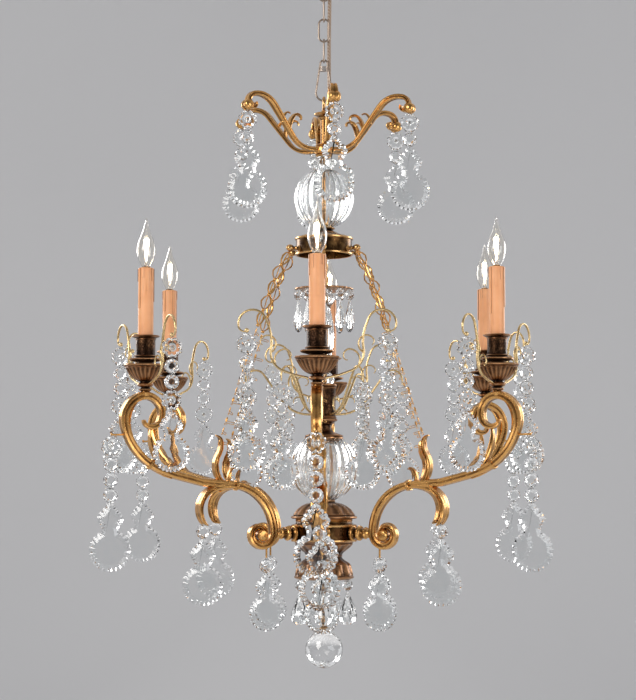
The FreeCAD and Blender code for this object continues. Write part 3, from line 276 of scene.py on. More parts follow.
def outlined(name, points, level=0.0):
    # draws a closed outline in the XY plane, point after point
    freshStart()
    bpy.ops.mesh.primitive_plane_add(size=1 * mm, location=(0, 0, 0))
    shape = bpy.context.object
    shape.name = name
    openMesh(shape)
    bpy.ops.mesh.select_all(action='SELECT')
    bpy.ops.mesh.merge(type='CENTER')
    drawOn(points, level, (0, 0, 0))
    return shape


def drawOn(points, level, start):
    # moves the one selected point to the outline and extrudes it round
    bpy.ops.transform.translate(value=(points[0][0] * mm - start[0], points[0][1] * mm - start[1],
                                       level * mm - start[2]))
    for first, second in zip(points, points[1:]):
        pushOut(((second[0] - first[0]) * mm, (second[1] - first[1]) * mm, 0))


def joined(name, shapes):
    hold(*shapes)
    if len(shapes) > 1:
        bpy.ops.object.join()
    whole = bpy.context.view_layer.objects.active
    whole.name = name
    whole.data.name = name
    return whole


def copied(shape, place=(0, 0, 0), turn=(0, 0, 0), scale=(1, 1, 1)):
    # a copy with its own mesh, its place in the mesh; place in mm, turn in degrees
    hold(shape)
    bpy.ops.object.duplicate(linked=False)
    copy = bpy.context.object
    copy.location = [c * mm for c in place]
    copy.rotation_euler = [math.radians(t) for t in turn]
    copy.scale = scale
    return settle(copy)


def roundTheAxis(name, shape, count, first, keep=False):
    # copies a shape made along +X to azimuths counted from the front
    copies = [copied(shape, turn=(0, 0, first + 360.0 * k / count - 90)) for k in range(count)]
    if not keep:
        bpy.data.objects.remove(shape)
    return joined(name, copies)


def atAzimuth(reach, azimuth, aside=0.0):
    angle = math.radians(azimuth)
    return (reach * math.sin(angle) + aside * math.cos(angle),
            -reach * math.cos(angle) + aside * math.sin(angle))


def dressed(shape, material, body, nodeNames, smooth=None):
    if material is not None:
        shape.data.materials.clear()
        shape.data.materials.append(material)
    if smooth is not None:
        smoothOff(shape, smooth)
    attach(shape, body)
    if nodeNames:
        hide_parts(*nodeNames)
    return shape


def painted(shape, material):
    shape.data.materials.clear()
    shape.data.materials.append(material)
    return shape


# ---- shared effects, as node groups

def newGroup(name, inputs, outputs):
    group = bpy.data.node_groups.new(name, 'ShaderNodeTree')
    for label, kind, value in inputs:
        socket = group.interface.new_socket(label, in_out='INPUT', socket_type=kind)
        socket.default_value = value
    for label, kind in outputs:
        group.interface.new_socket(label, in_out='OUTPUT', socket_type=kind)
    entry = group.nodes.new('NodeGroupInput')
    leave = group.nodes.new('NodeGroupOutput')
    return group, entry, leave


def node(tree, kind, **values):
    made = tree.nodes.new(kind)
    for key, value in values.items():
        if key in made.inputs:
            made.inputs[key].default_value = value
        else:
            setattr(made, key, value)
    return made


def spread(tree, source, low, high, toLow=0.0, toHigh=1.0):
    made = node(tree, 'ShaderNodeMapRange')
    made.inputs["From Min"].default_value = low
    made.inputs["From Max"].default_value = high
    made.inputs["To Min"].default_value = toLow
    made.inputs["To Max"].default_value = toHigh
    tree.links.new(source, made.inputs["Value"])
    return made.outputs["Result"]


def mixSockets(made):
    return [s for s in made.inputs if s.type == 'RGBA']


def blendColours(tree, factor, first, second):
    made = tree.nodes.new('ShaderNodeMix')
    made.data_type = 'RGBA'
    tree.links.new(factor, made.inputs[0])
    firstSocket, secondSocket = mixSockets(made)[:2]
    for source, socket in ((first, firstSocket), (second, secondSocket)):
        if isinstance(source, tuple):
            socket.default_value = source
        else:
            tree.links.new(source, socket)
    return [s for s in made.outputs if s.type == 'RGBA'][0]


def makeMetalWearAndPaintedLight():
    # polish with a painted highlight on the ridges, tarnish with painted shade in the recesses, mottled and
    # finely scratched all over
    group, entry, leave = newGroup("metalWearAndPaintedLight", [
        ("Polished", 'NodeSocketColor', (0.6, 0.4, 0.2, 1)),
        ("Body", 'NodeSocketColor', (0.4, 0.25, 0.1, 1)),
        ("Recess", 'NodeSocketColor', (0.05, 0.03, 0.02, 1)),
        ("Mottle Scale", 'NodeSocketFloat', 60.0),
        ("Recess Depth", 'NodeSocketFloat', 0.06),
        ("Roughness Low", 'NodeSocketFloat', 0.2),
        ("Roughness High", 'NodeSocketFloat', 0.45),
    ], [("Colour", 'NodeSocketColor'), ("Roughness", 'NodeSocketFloat'), ("Height", 'NodeSocketFloat')])
    place = node(group, 'ShaderNodeTexCoord').outputs["Object"]
    shapeOf = node(group, 'ShaderNodeNewGeometry').outputs["Pointiness"]
    mottle = node(group, 'ShaderNodeTexNoise', Detail=4.0, Roughness=0.6)
    group.links.new(place, mottle.inputs["Vector"])
    group.links.new(entry.outputs["Mottle Scale"], mottle.inputs["Scale"])
    grain = node(group, 'ShaderNodeTexNoise', Scale=900.0, Detail=2.0)
    group.links.new(place, grain.inputs["Vector"])
    centred = node(group, 'ShaderNodeMath', operation='SUBTRACT')
    group.links.new(shapeOf, centred.inputs[0])
    centred.inputs[1].default_value = 0.5
    wobble = spread(group, mottle.outputs["Fac"], 0.25, 0.75, -0.012, 0.012)
    uneven = node(group, 'ShaderNodeMath', operation='ADD')
    group.links.new(centred.outputs[0], uneven.inputs[0])
    group.links.new(wobble, uneven.inputs[1])
    hollow = node(group, 'ShaderNodeMath', operation='DIVIDE')
    group.links.new(uneven.outputs[0], hollow.inputs[0])
    group.links.new(entry.outputs["Recess Depth"], hollow.inputs[1])
    # the first mask below paints shade, with tarnish, into the hollows; the second paints a highlight, with
    # rubbed polish, onto the ridges
    dark = spread(group, hollow.outputs[0], -0.1, -0.9)
    highlightMask = spread(group, hollow.outputs[0], 0.05, 0.8)
    patch = spread(group, mottle.outputs["Fac"], 0.45, 0.7, 0.0, 0.55)
    body = blendColours(group, patch, entry.outputs["Body"], entry.outputs["Polished"])
    wornAndHighlit = blendColours(group, highlightMask, body, entry.outputs["Polished"])
    full = blendColours(group, dark, wornAndHighlit, entry.outputs["Recess"])
    group.links.new(full, leave.inputs["Colour"])
    rough = node(group, 'ShaderNodeMapRange')
    group.links.new(mottle.outputs["Fac"], rough.inputs["Value"])
    rough.inputs["From Min"].default_value = 0.3
    rough.inputs["From Max"].default_value = 0.7
    group.links.new(entry.outputs["Roughness Low"], rough.inputs["To Min"])
    group.links.new(entry.outputs["Roughness High"], rough.inputs["To Max"])
    group.links.new(rough.outputs["Result"], leave.inputs["Roughness"])
    height = node(group, 'ShaderNodeMath', operation='ADD')
    group.links.new(spread(group, mottle.outputs["Fac"], 0.0, 1.0), height.inputs[0])
    group.links.new(spread(group, grain.outputs["Fac"], 0.0, 1.0, 0.0, 0.12), height.inputs[1])
    group.links.new(height.outputs[0], leave.inputs["Height"])
    return group


def makeEngraving():
    # chased leaf-like figures cut into a band: a mask that is 1 in the cuts
    group, entry, leave = newGroup("engraving", [
        ("Figure Scale", 'NodeSocketFloat', 160.0),
        ("Cut Width", 'NodeSocketFloat', 0.12),
    ], [("Cut", 'NodeSocketFloat')])
    place = node(group, 'ShaderNodeTexCoord').outputs["Object"]
    bend = node(group, 'ShaderNodeTexNoise', Scale=120.0, Detail=1.0)
    group.links.new(place, bend.inputs["Vector"])
    shift = node(group, 'ShaderNodeVectorMath', operation='MULTIPLY_ADD')
    group.links.new(bend.outputs["Color"], shift.inputs[0])
    shift.inputs[1].default_value = (0.006, 0.006, 0.006)
    group.links.new(place, shift.inputs[2])
    cells = node(group, 'ShaderNodeTexVoronoi', feature='DISTANCE_TO_EDGE')
    group.links.new(shift.outputs[0], cells.inputs["Vector"])
    group.links.new(entry.outputs["Figure Scale"], cells.inputs["Scale"])
    ratio = node(group, 'ShaderNodeMath', operation='DIVIDE')
    group.links.new(cells.outputs["Distance"], ratio.inputs[0])
    group.links.new(entry.outputs["Cut Width"], ratio.inputs[1])
    group.links.new(spread(group, ratio.outputs[0], 1.0, 0.2), leave.inputs["Cut"])
    return group


def makeGlassRipple():
    # the slight waves and the faint tint of pressed and polished glass
    group, entry, leave = newGroup("glassRipple", [
        ("Clear", 'NodeSocketColor', (0.97, 0.98, 0.98, 1)),
        ("Tint", 'NodeSocketColor', (0.9, 0.94, 0.95, 1)),
        ("Wave Scale", 'NodeSocketFloat', 70.0),
    ], [("Colour", 'NodeSocketColor'), ("Height", 'NodeSocketFloat')])
    place = node(group, 'ShaderNodeTexCoord').outputs["Object"]
    wave = node(group, 'ShaderNodeTexNoise', Detail=1.5)
    group.links.new(place, wave.inputs["Vector"])
    group.links.new(entry.outputs["Wave Scale"], wave.inputs["Scale"])
    share = spread(group, wave.outputs["Fac"], 0.35, 0.65)
    group.links.new(blendColours(group, share, entry.outputs["Clear"], entry.outputs["Tint"]),
                    leave.inputs["Colour"])
    group.links.new(share, leave.inputs["Height"])
    return group


metalWearAndPaintedLight = makeMetalWearAndPaintedLight()
engraving = makeEngraving()
glassRipple = makeGlassRipple()


def newMaterial(name, **values):
    material = bpy.data.materials.new(name)
    material.use_nodes = True
    tree = material.node_tree
    shader = tree.nodes["Principled BSDF"]
    for key, value in values.items():
        shader.inputs[key].default_value = value
    return material, tree, shader


def placeGroup(tree, group, **values):
    made = tree.nodes.new('ShaderNodeGroup')
    made.node_tree = group
    for key, value in values.items():
        made.inputs[key.replace("_", " ")].default_value = value
    return made


def bumpFrom(tree, shader, height, strength, distance):
    bump = node(tree, 'ShaderNodeBump', Strength=strength, Distance=distance)
    tree.links.new(height, bump.inputs["Height"])
    tree.links.new(bump.outputs["Normal"], shader.inputs["Normal"])


def metalMaterial(name, look, figure=None):
    material, tree, shader = newMaterial(name, Metallic=1.0)
    wearAndLight = placeGroup(tree, metalWearAndPaintedLight, Polished=look["polishAndHighlight"], Body=look["body"], Recess=look["tarnishAndShade"],
                      Mottle_Scale=look["mottle"], Recess_Depth=look["depth"],
                      Roughness_Low=look["smooth"], Roughness_High=look["rough"])
    colour, height = wearAndLight.outputs["Colour"], wearAndLight.outputs["Height"]
    if figure:
        cut = placeGroup(tree, engraving, Figure_Scale=figure["scale"], Cut_Width=figure["cut"])
        # the engraved cuts take the recess colour: tarnish with painted shade
        colour = blendColours(tree, cut.outputs["Cut"], colour, look["tarnishAndShade"])
        deep = node(tree, 'ShaderNodeMath', operation='MULTIPLY_ADD')
        tree.links.new(cut.outputs["Cut"], deep.inputs[0])
        deep.inputs[1].default_value = -figure["deep"]
        tree.links.new(height, deep.inputs[2])
        height = deep.outputs[0]
    tree.links.new(colour, shader.inputs["Base Color"])
    tree.links.new(wearAndLight.outputs["Roughness"], shader.inputs["Roughness"])
    bumpFrom(tree, shader, height, look["bump"], 0.0006)
    return material


# in each look the polished colour is rubbed polish with a painted highlight for the ridges, and the recess
# colour is tarnish with painted shade for the hollows
brassLook = {"polishAndHighlight": (0.60, 0.35, 0.14, 1), "body": (0.27, 0.135, 0.045, 1),
             "tarnishAndShade": (0.03, 0.013, 0.005, 1),
             "mottle": 55.0, "depth": 0.05, "smooth": 0.16, "rough": 0.34, "bump": 0.12}
castLook = {"polishAndHighlight": (0.66, 0.36, 0.12, 1), "body": (0.27, 0.125, 0.038, 1),
            "tarnishAndShade": (0.022, 0.009, 0.003, 1),
            "mottle": 45.0, "depth": 0.045, "smooth": 0.15, "rough": 0.36, "bump": 0.25}
bronzeLook = {"polishAndHighlight": (0.40, 0.21, 0.10, 1), "body": (0.135, 0.065, 0.032, 1),
              "tarnishAndShade": (0.02, 0.010, 0.006, 1),
              "mottle": 70.0, "depth": 0.05, "smooth": 0.22, "rough": 0.42, "bump": 0.2}
wireLook = {"polishAndHighlight": (0.74, 0.55, 0.28, 1), "body": (0.36, 0.235, 0.095, 1),
            "tarnishAndShade": (0.05, 0.03, 0.012, 1),
            "mottle": 80.0, "depth": 0.08, "smooth": 0.18, "rough": 0.32, "bump": 0.08}
chainLook = {"polishAndHighlight": (0.42, 0.34, 0.28, 1), "body": (0.20, 0.14, 0.10, 1),
             "tarnishAndShade": (0.05, 0.035, 0.025, 1),
             "mottle": 90.0, "depth": 0.08, "smooth": 0.25, "rough": 0.42, "bump": 0.15}
steelLook = {"polishAndHighlight": (0.62, 0.62, 0.62, 1), "body": (0.45, 0.45, 0.46, 1),
             "tarnishAndShade": (0.15, 0.15, 0.16, 1),
             "mottle": 90.0, "depth": 0.08, "smooth": 0.28, "rough": 0.45, "bump": 0.1}
pinLook = {"polishAndHighlight": (0.70, 0.70, 0.68, 1), "body": (0.45, 0.44, 0.42, 1), "tarnishAndShade": (0.12, 0.11, 0.10, 1),
           "mottle": 90.0, "depth": 0.1, "smooth": 0.2, "rough": 0.35, "bump": 0.05}

brass = metalMaterial("brass", brassLook)
castBrass = metalMaterial("castBrass", castLook)
bronze = metalMaterial("bronze", bronzeLook)
engravedBrass = metalMaterial("engravedBrass", bronzeLook, {"scale": 210.0, "cut": 0.14, "deep": 3.0})
scrollWire = metalMaterial("scrollWire", wireLook)
chainMetal = metalMaterial("chainMetal", chainLook)
steel = metalMaterial("steel", steelLook)
pinMetal = metalMaterial("pinMetal", pinLook)


def glassMaterial(name, clear, tint, roughness, waves, strength, index=1.52):
    material, tree, shader = newMaterial(name, Metallic=0.0, Roughness=roughness, IOR=index)
    shader.inputs["Transmission Weight"].default_value = 1.0
    ripple = placeGroup(tree, glassRipple, Clear=clear, Tint=tint, Wave_Scale=waves)
    tree.links.new(ripple.outputs["Colour"], shader.inputs["Base Color"])
    bumpFrom(tree, shader, ripple.outputs["Height"], strength, 0.0005)
    return material


crystal = glassMaterial("crystal", (0.985, 0.99, 0.99, 1), (0.95, 0.97, 0.975, 1), 0.0, 90.0, 0.05, 1.56)
columnGlass = glassMaterial("columnGlass", (0.98, 0.985, 0.985, 1), (0.93, 0.95, 0.95, 1), 0.0, 45.0, 0.12,
                            1.5)
bulbGlass = glassMaterial("bulbGlass", (1.0, 0.99, 0.97, 1), (0.97, 0.95, 0.91, 1), 0.0, 60.0, 0.02, 1.45)


def makeWax(name, colour, shade, streak):
    # candle sleeve: warm wax colour, darker streaks down its length and a fine stipple
    material, tree, shader = newMaterial(name, Metallic=0.0, Roughness=0.48)
    shader.inputs["Subsurface Weight"].default_value = 0.08
    shader.inputs["Subsurface Radius"].default_value = (0.006, 0.003, 0.0015)
    place = node(tree, 'ShaderNodeTexCoord').outputs["Object"]
    stretch = node(tree, 'ShaderNodeMapping', vector_type='POINT')
    stretch.inputs["Scale"].default_value = (1.0, 1.0, 0.12)
    tree.links.new(place, stretch.inputs["Vector"])
    runs = node(tree, 'ShaderNodeTexNoise', Scale=220.0, Detail=3.0)
    tree.links.new(stretch.outputs["Vector"], runs.inputs["Vector"])
    cloud = node(tree, 'ShaderNodeTexNoise', Scale=40.0, Detail=2.0)
    tree.links.new(place, cloud.inputs["Vector"])
    share = spread(tree, cloud.outputs["Fac"], 0.35, 0.7)
    ground = blendColours(tree, share, colour, shade)
    line = spread(tree, runs.outputs["Fac"], 0.6, 0.75, 0.0, 0.5)
    tree.links.new(blendColours(tree, line, ground, streak), shader.inputs["Base Color"])
    bumpFrom(tree, shader, runs.outputs["Fac"], 0.2, 0.0006)
    return material


wax = makeWax("wax", (0.86, 0.42, 0.20, 1), (0.80, 0.36, 0.16, 1), (0.60, 0.24, 0.09, 1))
# a dark wax for the sides of the drips: painted shade
waxDripShade = makeWax("waxDripShade", (0.22, 0.07, 0.02, 1), (0.16, 0.045, 0.012, 1), (0.10, 0.03, 0.01, 1))
holderCard = makeWax("holderCard", (0.10, 0.08, 0.07, 1), (0.07, 0.06, 0.05, 1), (0.05, 0.04, 0.035, 1))


def makeGlow():
    # the lit filament
    material, tree, shader = newMaterial("filamentGlow", Metallic=0.0, Roughness=0.5)
    place = node(tree, 'ShaderNodeTexCoord').outputs["Object"]
    heat = node(tree, 'ShaderNodeTexNoise', Scale=300.0)
    tree.links.new(place, heat.inputs["Vector"])
    colour = blendColours(tree, spread(tree, heat.outputs["Fac"], 0.3, 0.7), (1.0, 0.80, 0.50, 1),
                          (1.0, 0.90, 0.70, 1))
    tree.links.new(colour, shader.inputs["Emission Color"])
    shader.inputs["Emission Strength"].default_value = 14.0
    tree.links.new(colour, shader.inputs["Base Color"])
    return material


filamentGlow = makeGlow()


def makeSheath():
    # clear-coated flex: brown-grey with a fine twist under the skin
    material, tree, shader = newMaterial("cordSheath", Metallic=0.0, Roughness=0.28)
    place = node(tree, 'ShaderNodeTexCoord').outputs["Object"]
    twist = node(tree, 'ShaderNodeTexWave', Scale=120.0, Distortion=1.5)
    twist.bands_direction = 'DIAGONAL'
    tree.links.new(place, twist.inputs["Vector"])
    colour = blendColours(tree, spread(tree, twist.outputs["Fac"], 0.2, 0.8), (0.30, 0.19, 0.12, 1),
                          (0.46, 0.36, 0.28, 1))
    tree.links.new(colour, shader.inputs["Base Color"])
    bumpFrom(tree, shader, twist.outputs["Fac"], 0.25, 0.0004)
    return material


cordSheath = makeSheath()
print("materials made")

# ---- supply cord, beside the chain from the rose to the stem

cordSizes = {"diameter": 6.0, "exit": (8.5, 7.0, -53.45)}


def makeCord():
    route = [
        (8.5, 7.0, -53.45),
        (8.5, 7.0, -72.0),
        (9.4, 7.6, -135.0),
        (7.9, 6.8, -205.0),
        (8.5, 7.0, -300.0),
        (8.5, 7.0, -318.95),
    ]
    curve = bpy.data.curves.new("supplyCordLine", 'CURVE')
    curve.dimensions = '3D'
    spline = curve.splines.new('NURBS')
    spline.points.add(len(route) - 1)
    for point, (x, y, z) in zip(spline.points, route):
        point.co = (x * mm, y * mm, z * mm, 1)
    spline.order_u = 3
    spline.use_endpoint_u = True
    curve.bevel_depth = cordSizes["diameter"] / 2 * mm
    curve.bevel_resolution = 4
    curve.resolution_u = 10
    curve.use_fill_caps = True
    cord = bpy.data.objects.new("supplyCord", curve)
    bpy.context.scene.collection.objects.link(cord)
    cord.data.materials.append(cordSheath)
    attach(cord, "chain")
    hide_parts("supply_cord")
    return cord


makeCord()
print("cord laid")

# ---- ceiling rose, loop and chain

rose = {"sides": 72, "ribs": 18}
loop = {"ring": 11.0, "wire": 4.0, "level": -65.0}
chain = {"pitch": 32.7, "first": -90.2, "count": 5, "length": 39.0, "width": 19.0, "wire": 3.0}
pear = {"bottom": -302.2, "length": 68.0, "width": 28.0, "wire": 3.0}


def makeRose():
    outer = [
        (61.9, -0.1), (61.9, -2.4), (60.6, -3.6), (60.6, -4.6), (61.8, -6.0), (61.2, -7.6), (59.0, -8.8),
        (58.4, -10.6), (57.2, -17.0), (54.0, -24.5), (48.0, -31.0), (40.0, -35.6), (34.0, -37.6),
        (33.2, -39.0), (34.4, -40.4), (33.4, -41.8), (30.0, -42.2), (24.0, -44.0), (18.0, -46.8),
        (17.4, -48.2), (17.4, -50.6), (16.0, -52.4), (5.2, -52.4),
    ]
    inner = [(5.2, -50.6), (15.4, -48.6), (28.0, -41.8), (46.0, -30.0), (56.4, -14.0), (58.6, -3.0),
             (59.4, -0.1)]
    cover = turned("ceilingRose", outer + inner + outer[:1], sides=rose["sides"], hollow=True)
    ribbed(cover, rose["ribs"], rose["sides"], 0.045, -34.0, -12.0, inside=40.0)
    dressed(cover, brass, "ceiling_rose", ["ceiling_canopy"], 40)


def makeLoop():
    ringStops = walk((0, loop["level"] - loop["ring"]), 0.0, [(loop["ring"], 360.0)], step=12.0)
    ring = swept("eyeRing", ringStops, [(0, loop["wire"], loop["wire"]), (1, loop["wire"], loop["wire"])],
                 sides=14, closed=True)
    neck = turned("eyeNeck", [
        (2.4, -56.6), (3.3, -56.4), (3.2, -55.9), (6.3, -55.6), (6.6, -54.9), (6.6, -53.4), (6.0, -52.6),
        (4.7, -52.5), (4.7, -8.0), (8.6, -8.0), (9.0, -7.6), (9.0, -3.4), (8.6, -3.0), (4.7, -3.0),
        (4.7, -0.5),
    ], sides=28)
    dressed(joined("canopyLoop", [ring, neck]), brass, "ceiling_rose", ["canopy_loop"], 35)


def makeLink():
    wire = chain["wire"]
    radius = (chain["width"] - wire) / 2
    straight = chain["length"] - wire - 2 * radius
    stops = walk((radius, -straight / 2), 90.0, [(straight,), (radius, 180.0), (straight,), (radius, 180.0)],
                 15.0)
    return swept("chainLink", stops, [(0, wire, wire), (1, wire, wire)], sides=12, closed=True)


def makePear():
    # the hanging loop: a doubled wire, twisted together at its narrow top
    wire = pear["wire"]
    low = (pear["width"] - wire) / 2
    high = low * 0.45
    reach = pear["length"] - wire - low - high
    lean = math.degrees(math.asin((low - high) / reach))
    side = math.sqrt(reach ** 2 - (low - high) ** 2)
    start = (low * math.cos(math.radians(lean)), low * math.sin(math.radians(lean)))
    moves = [(side,), (high, 180.0 - 2 * lean), (side,), (low, 180.0 + 2 * lean)]
    stops = walk(start, 90.0 + lean, moves, 12.0)
    centre = pear["bottom"] + wire / 2 + low
    stops = [(x, z + centre, heading) for x, z, heading in stops]
    ring = swept("pearLoop", stops, [(0, wire, wire), (1, wire, wire)], sides=12, closed=True)
    wraps = []
    for k in range(4):
        wrap = swept("pearWrap", walk((high + 0.6, 0), 90.0, [(high + 0.6, 360.0)], 24.0),
                     [(0, 1.1, 1.1), (1, 1.1, 1.1)], sides=6, closed=True)
        wraps.append(copied(wrap, place=(0, 0, -247.0 - 2.0 * k), turn=(90, 0, 0), scale=(1.25, 1, 0.62)))
        bpy.data.objects.remove(wrap)
    return joined("pearLoop", [ring] + wraps)


def makeChain():
    link = makeLink()
    links = [makePear()]
    for k in range(chain["count"]):
        turn = 90.0 if k % 2 == 0 else 0.0
        links.append(copied(link, place=(0, 0, chain["first"] - k * chain["pitch"]), turn=(0, 0, turn)))
    bpy.data.objects.remove(link)
    dressed(joined("suspensionChain", links), chainMetal, "chain", ["suspension_chain"], 40)


makeRose()
makeLoop()
makeChain()
nodes["mounting_bar"].data.materials.clear()
nodes["mounting_bar"].data.materials.append(steel)
print("rose, loop and chain hung")

# ---- the column: stem, glass, drum, sleeve, hub and bell

levels = {"capTop": -319.9, "capFoot": -324.9, "crownTop": -369.9, "knopTop": -389.9, "ballTop": -410.9,
          "collarTop": -501.9, "roofTop": -510.9, "drumTop": -517.9, "drumFoot": -545.9, "plateTop": -595.9,
          "balusterTop": -599.9, "sleeveTop": -745.9, "neckTop": -802.9, "lowCollarTop": -825.9,
          "lowBallTop": -831.9, "domeTop": -925.9, "waistTop": -954.9, "hubTop": -963.9, "bellTop": -989.9,
          "dishTop": -1013.9, "dishFoot": -1047.9, "finialTop": -1124.9}
bore = 5.6                  # clear hole round the stem tube
stemSizes = {"tube": 5.0, "rod": 3.5, "ring": 10.5, "ringWire": 5.0}
meltBall = {"radius": 47.3, "height": 91.0, "wall": 6.5, "ribs": 20, "sides": 120, "depth": 0.085}
lowBall = {"radius": 53.0, "height": 94.0, "rise": 44.0, "wall": 7.0, "ribs": 20, "sides": 120, "depth": 0.08}
drumSizes = {"radius": 45.0, "wall": 3.0, "knob": 5.5}
dropPlate = {"radius": 46.0}


def fallFrom(top, rows):
    # a profile given from the top down, read from its foot up
    return [(radius, top - depth) for radius, depth in rows][::-1]


def boredThrough(rows, low, high, hole=bore):
    # closes a foot-to-top outline down the inside of its bore
    return rows + [(hole, high), (hole, low), rows[0]]


def makeStem():
    rod, tube = stemSizes["rod"], stemSizes["tube"]
    rodFoot = levels["finialTop"] - 0.9
    tubeShape = turned("stemTube", [
        (6.5, rodFoot), (7.6, rodFoot + 1.2), (7.2, rodFoot + 3.2), (4.2, rodFoot + 6.4),
        (rod, rodFoot + 7.6),
        (rod, levels["dishFoot"]), (tube, levels["dishFoot"]), (tube, levels["capFoot"] - 7.0),
        (6.6, levels["capFoot"] - 5.2), (8.8, levels["capFoot"] - 2.8), (8.2, levels["capFoot"] - 1.6),
        (12.5, levels["capFoot"] - 0.2), (15.2, levels["capFoot"] + 1.4), (15.5, levels["capFoot"] + 2.8),
        (14.6, levels["capTop"] - 1.0), (10.0, levels["capTop"] - 0.2), (4.0, levels["capTop"] + 0.6),
    ], sides=40)
    wire = stemSizes["ringWire"]
    ringStops = walk((0, -306.9 - stemSizes["ring"]), 0.0, [(stemSizes["ring"], 360.0)], 12.0)
    ring = swept("stemRing", ringStops, [(0, wire, wire), (1, wire, wire)], sides=16, closed=True)
    ring = settle(turnedRound(ring, 90))
    foot = turned("ringFoot", [(6.6, -320.4), (6.2, -319.2), (4.4, -317.6), (3.4, -316.0), (2.0, -315.0)],
                  sides=24)
    # beads and spool on the bare rod under the dish
    low = levels["dishFoot"]
    rodPiece = turned("rodSpool", boredThrough([
        (4.4, low - 60.0), (6.2, low - 57.6), (4.6, low - 55.0), (4.4, low - 50.0), (6.0, low - 46.0),
        (8.6, low - 43.0), (6.0, low - 40.0), (4.3, low - 36.0), (4.3, low - 12.0), (6.4, low - 9.0),
        (10.5, low - 4.0), (12.0, low - 0.6),
    ], low - 60.0, low - 0.6, hole=rod - 0.2), sides=28, hollow=True)
    whole = joined("columnStem", [tubeShape, ring, foot, rodPiece])
    dressed(whole, brass, "fixture", ["stem_tube"], 38)


def turnedRound(shape, degrees):
    shape.rotation_euler[2] = math.radians(degrees)
    return shape


def ballRows(radius, height, middle, count):
    rows = []
    for k in range(count + 1):
        depth = height * (1 - math.cos(math.pi * k / count)) / 2
        rows.append((math.sqrt(max(radius ** 2 - (depth - middle) ** 2, 1.0)), depth))
    return rows


def makeMeltBall(name, nodeName, top, look, middle):
    # a blown ball with melon ribs, hollow, its wall turned in at both ends to the bore
    outer = fallFrom(top, ballRows(look["radius"], look["height"], middle, 18))
    innerRows = [(max(r - look["wall"], bore + 1.4), d) for r, d in ballRows(
        look["radius"], look["height"], middle, 12)][1:-1]
    inner = [(r, top - min(max(d, 3.5), look["height"] - 3.5)) for r, d in innerRows]
    rows = outer + [(bore, top), (bore, top - 2.5)] + inner
    rows += [(bore, top - look["height"] + 2.5), (bore, top - look["height"]), outer[0]]
    ball = turned(name, rows, sides=look["sides"], hollow=True)
    ribbed(ball, look["ribs"], look["sides"], look["depth"], top - look["height"] + 3.0, top - 3.0,
           inside=look["wall"] + 14.0)
    dressed(ball, columnGlass, "fixture", [nodeName], 60)


def makeKnop():
    top = levels["knopTop"]
    rows = fallFrom(top, [(9.0, 0), (10.5, 1.0), (10.0, 2.2), (14.5, 4.0), (19.4, 7.4), (21.0, 10.6),
                          (19.4, 13.8),
                          (14.0, 17.0), (11.0, 18.6), (12.4, 20.0), (11.6, 21.0)])
    knop = turned("glassKnop", boredThrough(rows, top - 21.0, top), sides=64, hollow=True)
    ribbed(knop, 16, 64, 0.08, top - 17.5, top - 3.5, inside=12.0)
    dressed(knop, columnGlass, "fixture", ["top_knop"], 50)


def makeDrum():
    # collar, sloping roof and hollow band with beaded rims, and a ball on a turned arm for each swag
    top, roof, band, foot = (levels[k] for k in ("collarTop", "roofTop", "drumTop", "drumFoot"))
    radius, wall = drumSizes["radius"], drumSizes["wall"]
    outer = [
        (radius - 1.0, foot), (radius + 0.6, foot + 1.0), (radius + 0.6, foot + 2.6),
        (radius - 0.8, foot + 3.4),
        (radius - 1.2, foot + 4.2), (radius - 1.2, band - 4.6), (radius - 0.6, band - 3.8),
        (radius + 0.6, band - 3.0), (radius + 0.6, band - 1.0), (radius - 1.0, band), (38.0, band + 1.6),
        (36.6, band + 2.6), (30.0, band + 3.4), (24.0, band + 5.2), (22.2, roof), (21.4, roof + 0.4),
        (20.0, roof + 1.4), (16.6, roof + 2.4), (14.0, roof + 4.6), (15.2, roof + 6.0), (17.4, roof + 7.0),
        (17.0, roof + 8.2), (14.0, top),
    ]
    inner = [(bore, top), (bore, roof - 4.0), (30.0, band - wall), (radius - wall, band - wall - 1.0),
             (radius - wall, foot + 0.4)]
    shell = turned("drumShell", outer + inner + outer[:1], sides=96, hollow=True)
    level = foot + drumSizes["knob"] + 3.0
    knobProfile = [
        (2.6, 42.6), (5.2, 43.4), (5.2, 44.6), (3.0, 45.6), (2.4, 47.6), (3.6, 49.2), (3.8, 50.4),
        (2.6, 51.6),
        (2.4, 53.0), (4.2, 55.2), (5.4, 58.2), (5.5, 60.4), (4.4, 63.4), (2.4, 65.2), (0.6, 65.8),
    ]
    knob = turned("drumKnob", knobProfile, sides=20)
    knob = copied(knob, place=(0, 0, level), turn=(0, 90, 0))
    bpy.data.objects.remove(bpy.data.objects["drumKnob"])
    eye = swept("knobEye", walk((0, -2.4), 0.0, [(2.4, 360.0)], 30.0), [(0, 1.1, 1.1), (1, 1.1, 1.1)],
                sides=6, closed=True)
    eyes = copied(eye, place=(60.0, 0, level - 6.4), turn=(0, 0, 90))
    bpy.data.objects.remove(eye)
    knobs = roundTheAxis("drumKnobs", joined("drumKnob", [knob, eyes]), 6, -2.0)
    dressed(joined("upperDrum", [shell, knobs]), brass, "fixture", ["upper_drum"], 35)


def makeDropPlate():
    # the thin dished plate of the inner ring, its rim ribbed; the holes for the drops are not cut
    top = levels["plateTop"]
    radius = dropPlate["radius"]
    rows = [(radius - 1.5, top - 4.0), (radius + 0.2, top - 3.2), (radius + 0.2, top - 2.0),
            (radius - 1.4, top - 1.4),
            (radius - 3.4, top - 1.0), (38.0, top - 2.2), (28.0, top - 2.0), (21.0, top - 0.8), (18.0, top)]
    plate = turned("dropPlate", boredThrough(rows, top - 4.0, top), sides=80, hollow=True)
    ribbed(plate, 20, 80, 0.03, top - 4.1, top - 1.2, inside=44.0)
    dressed(plate, bronze, "fixture", ["drop_ring"], 35)


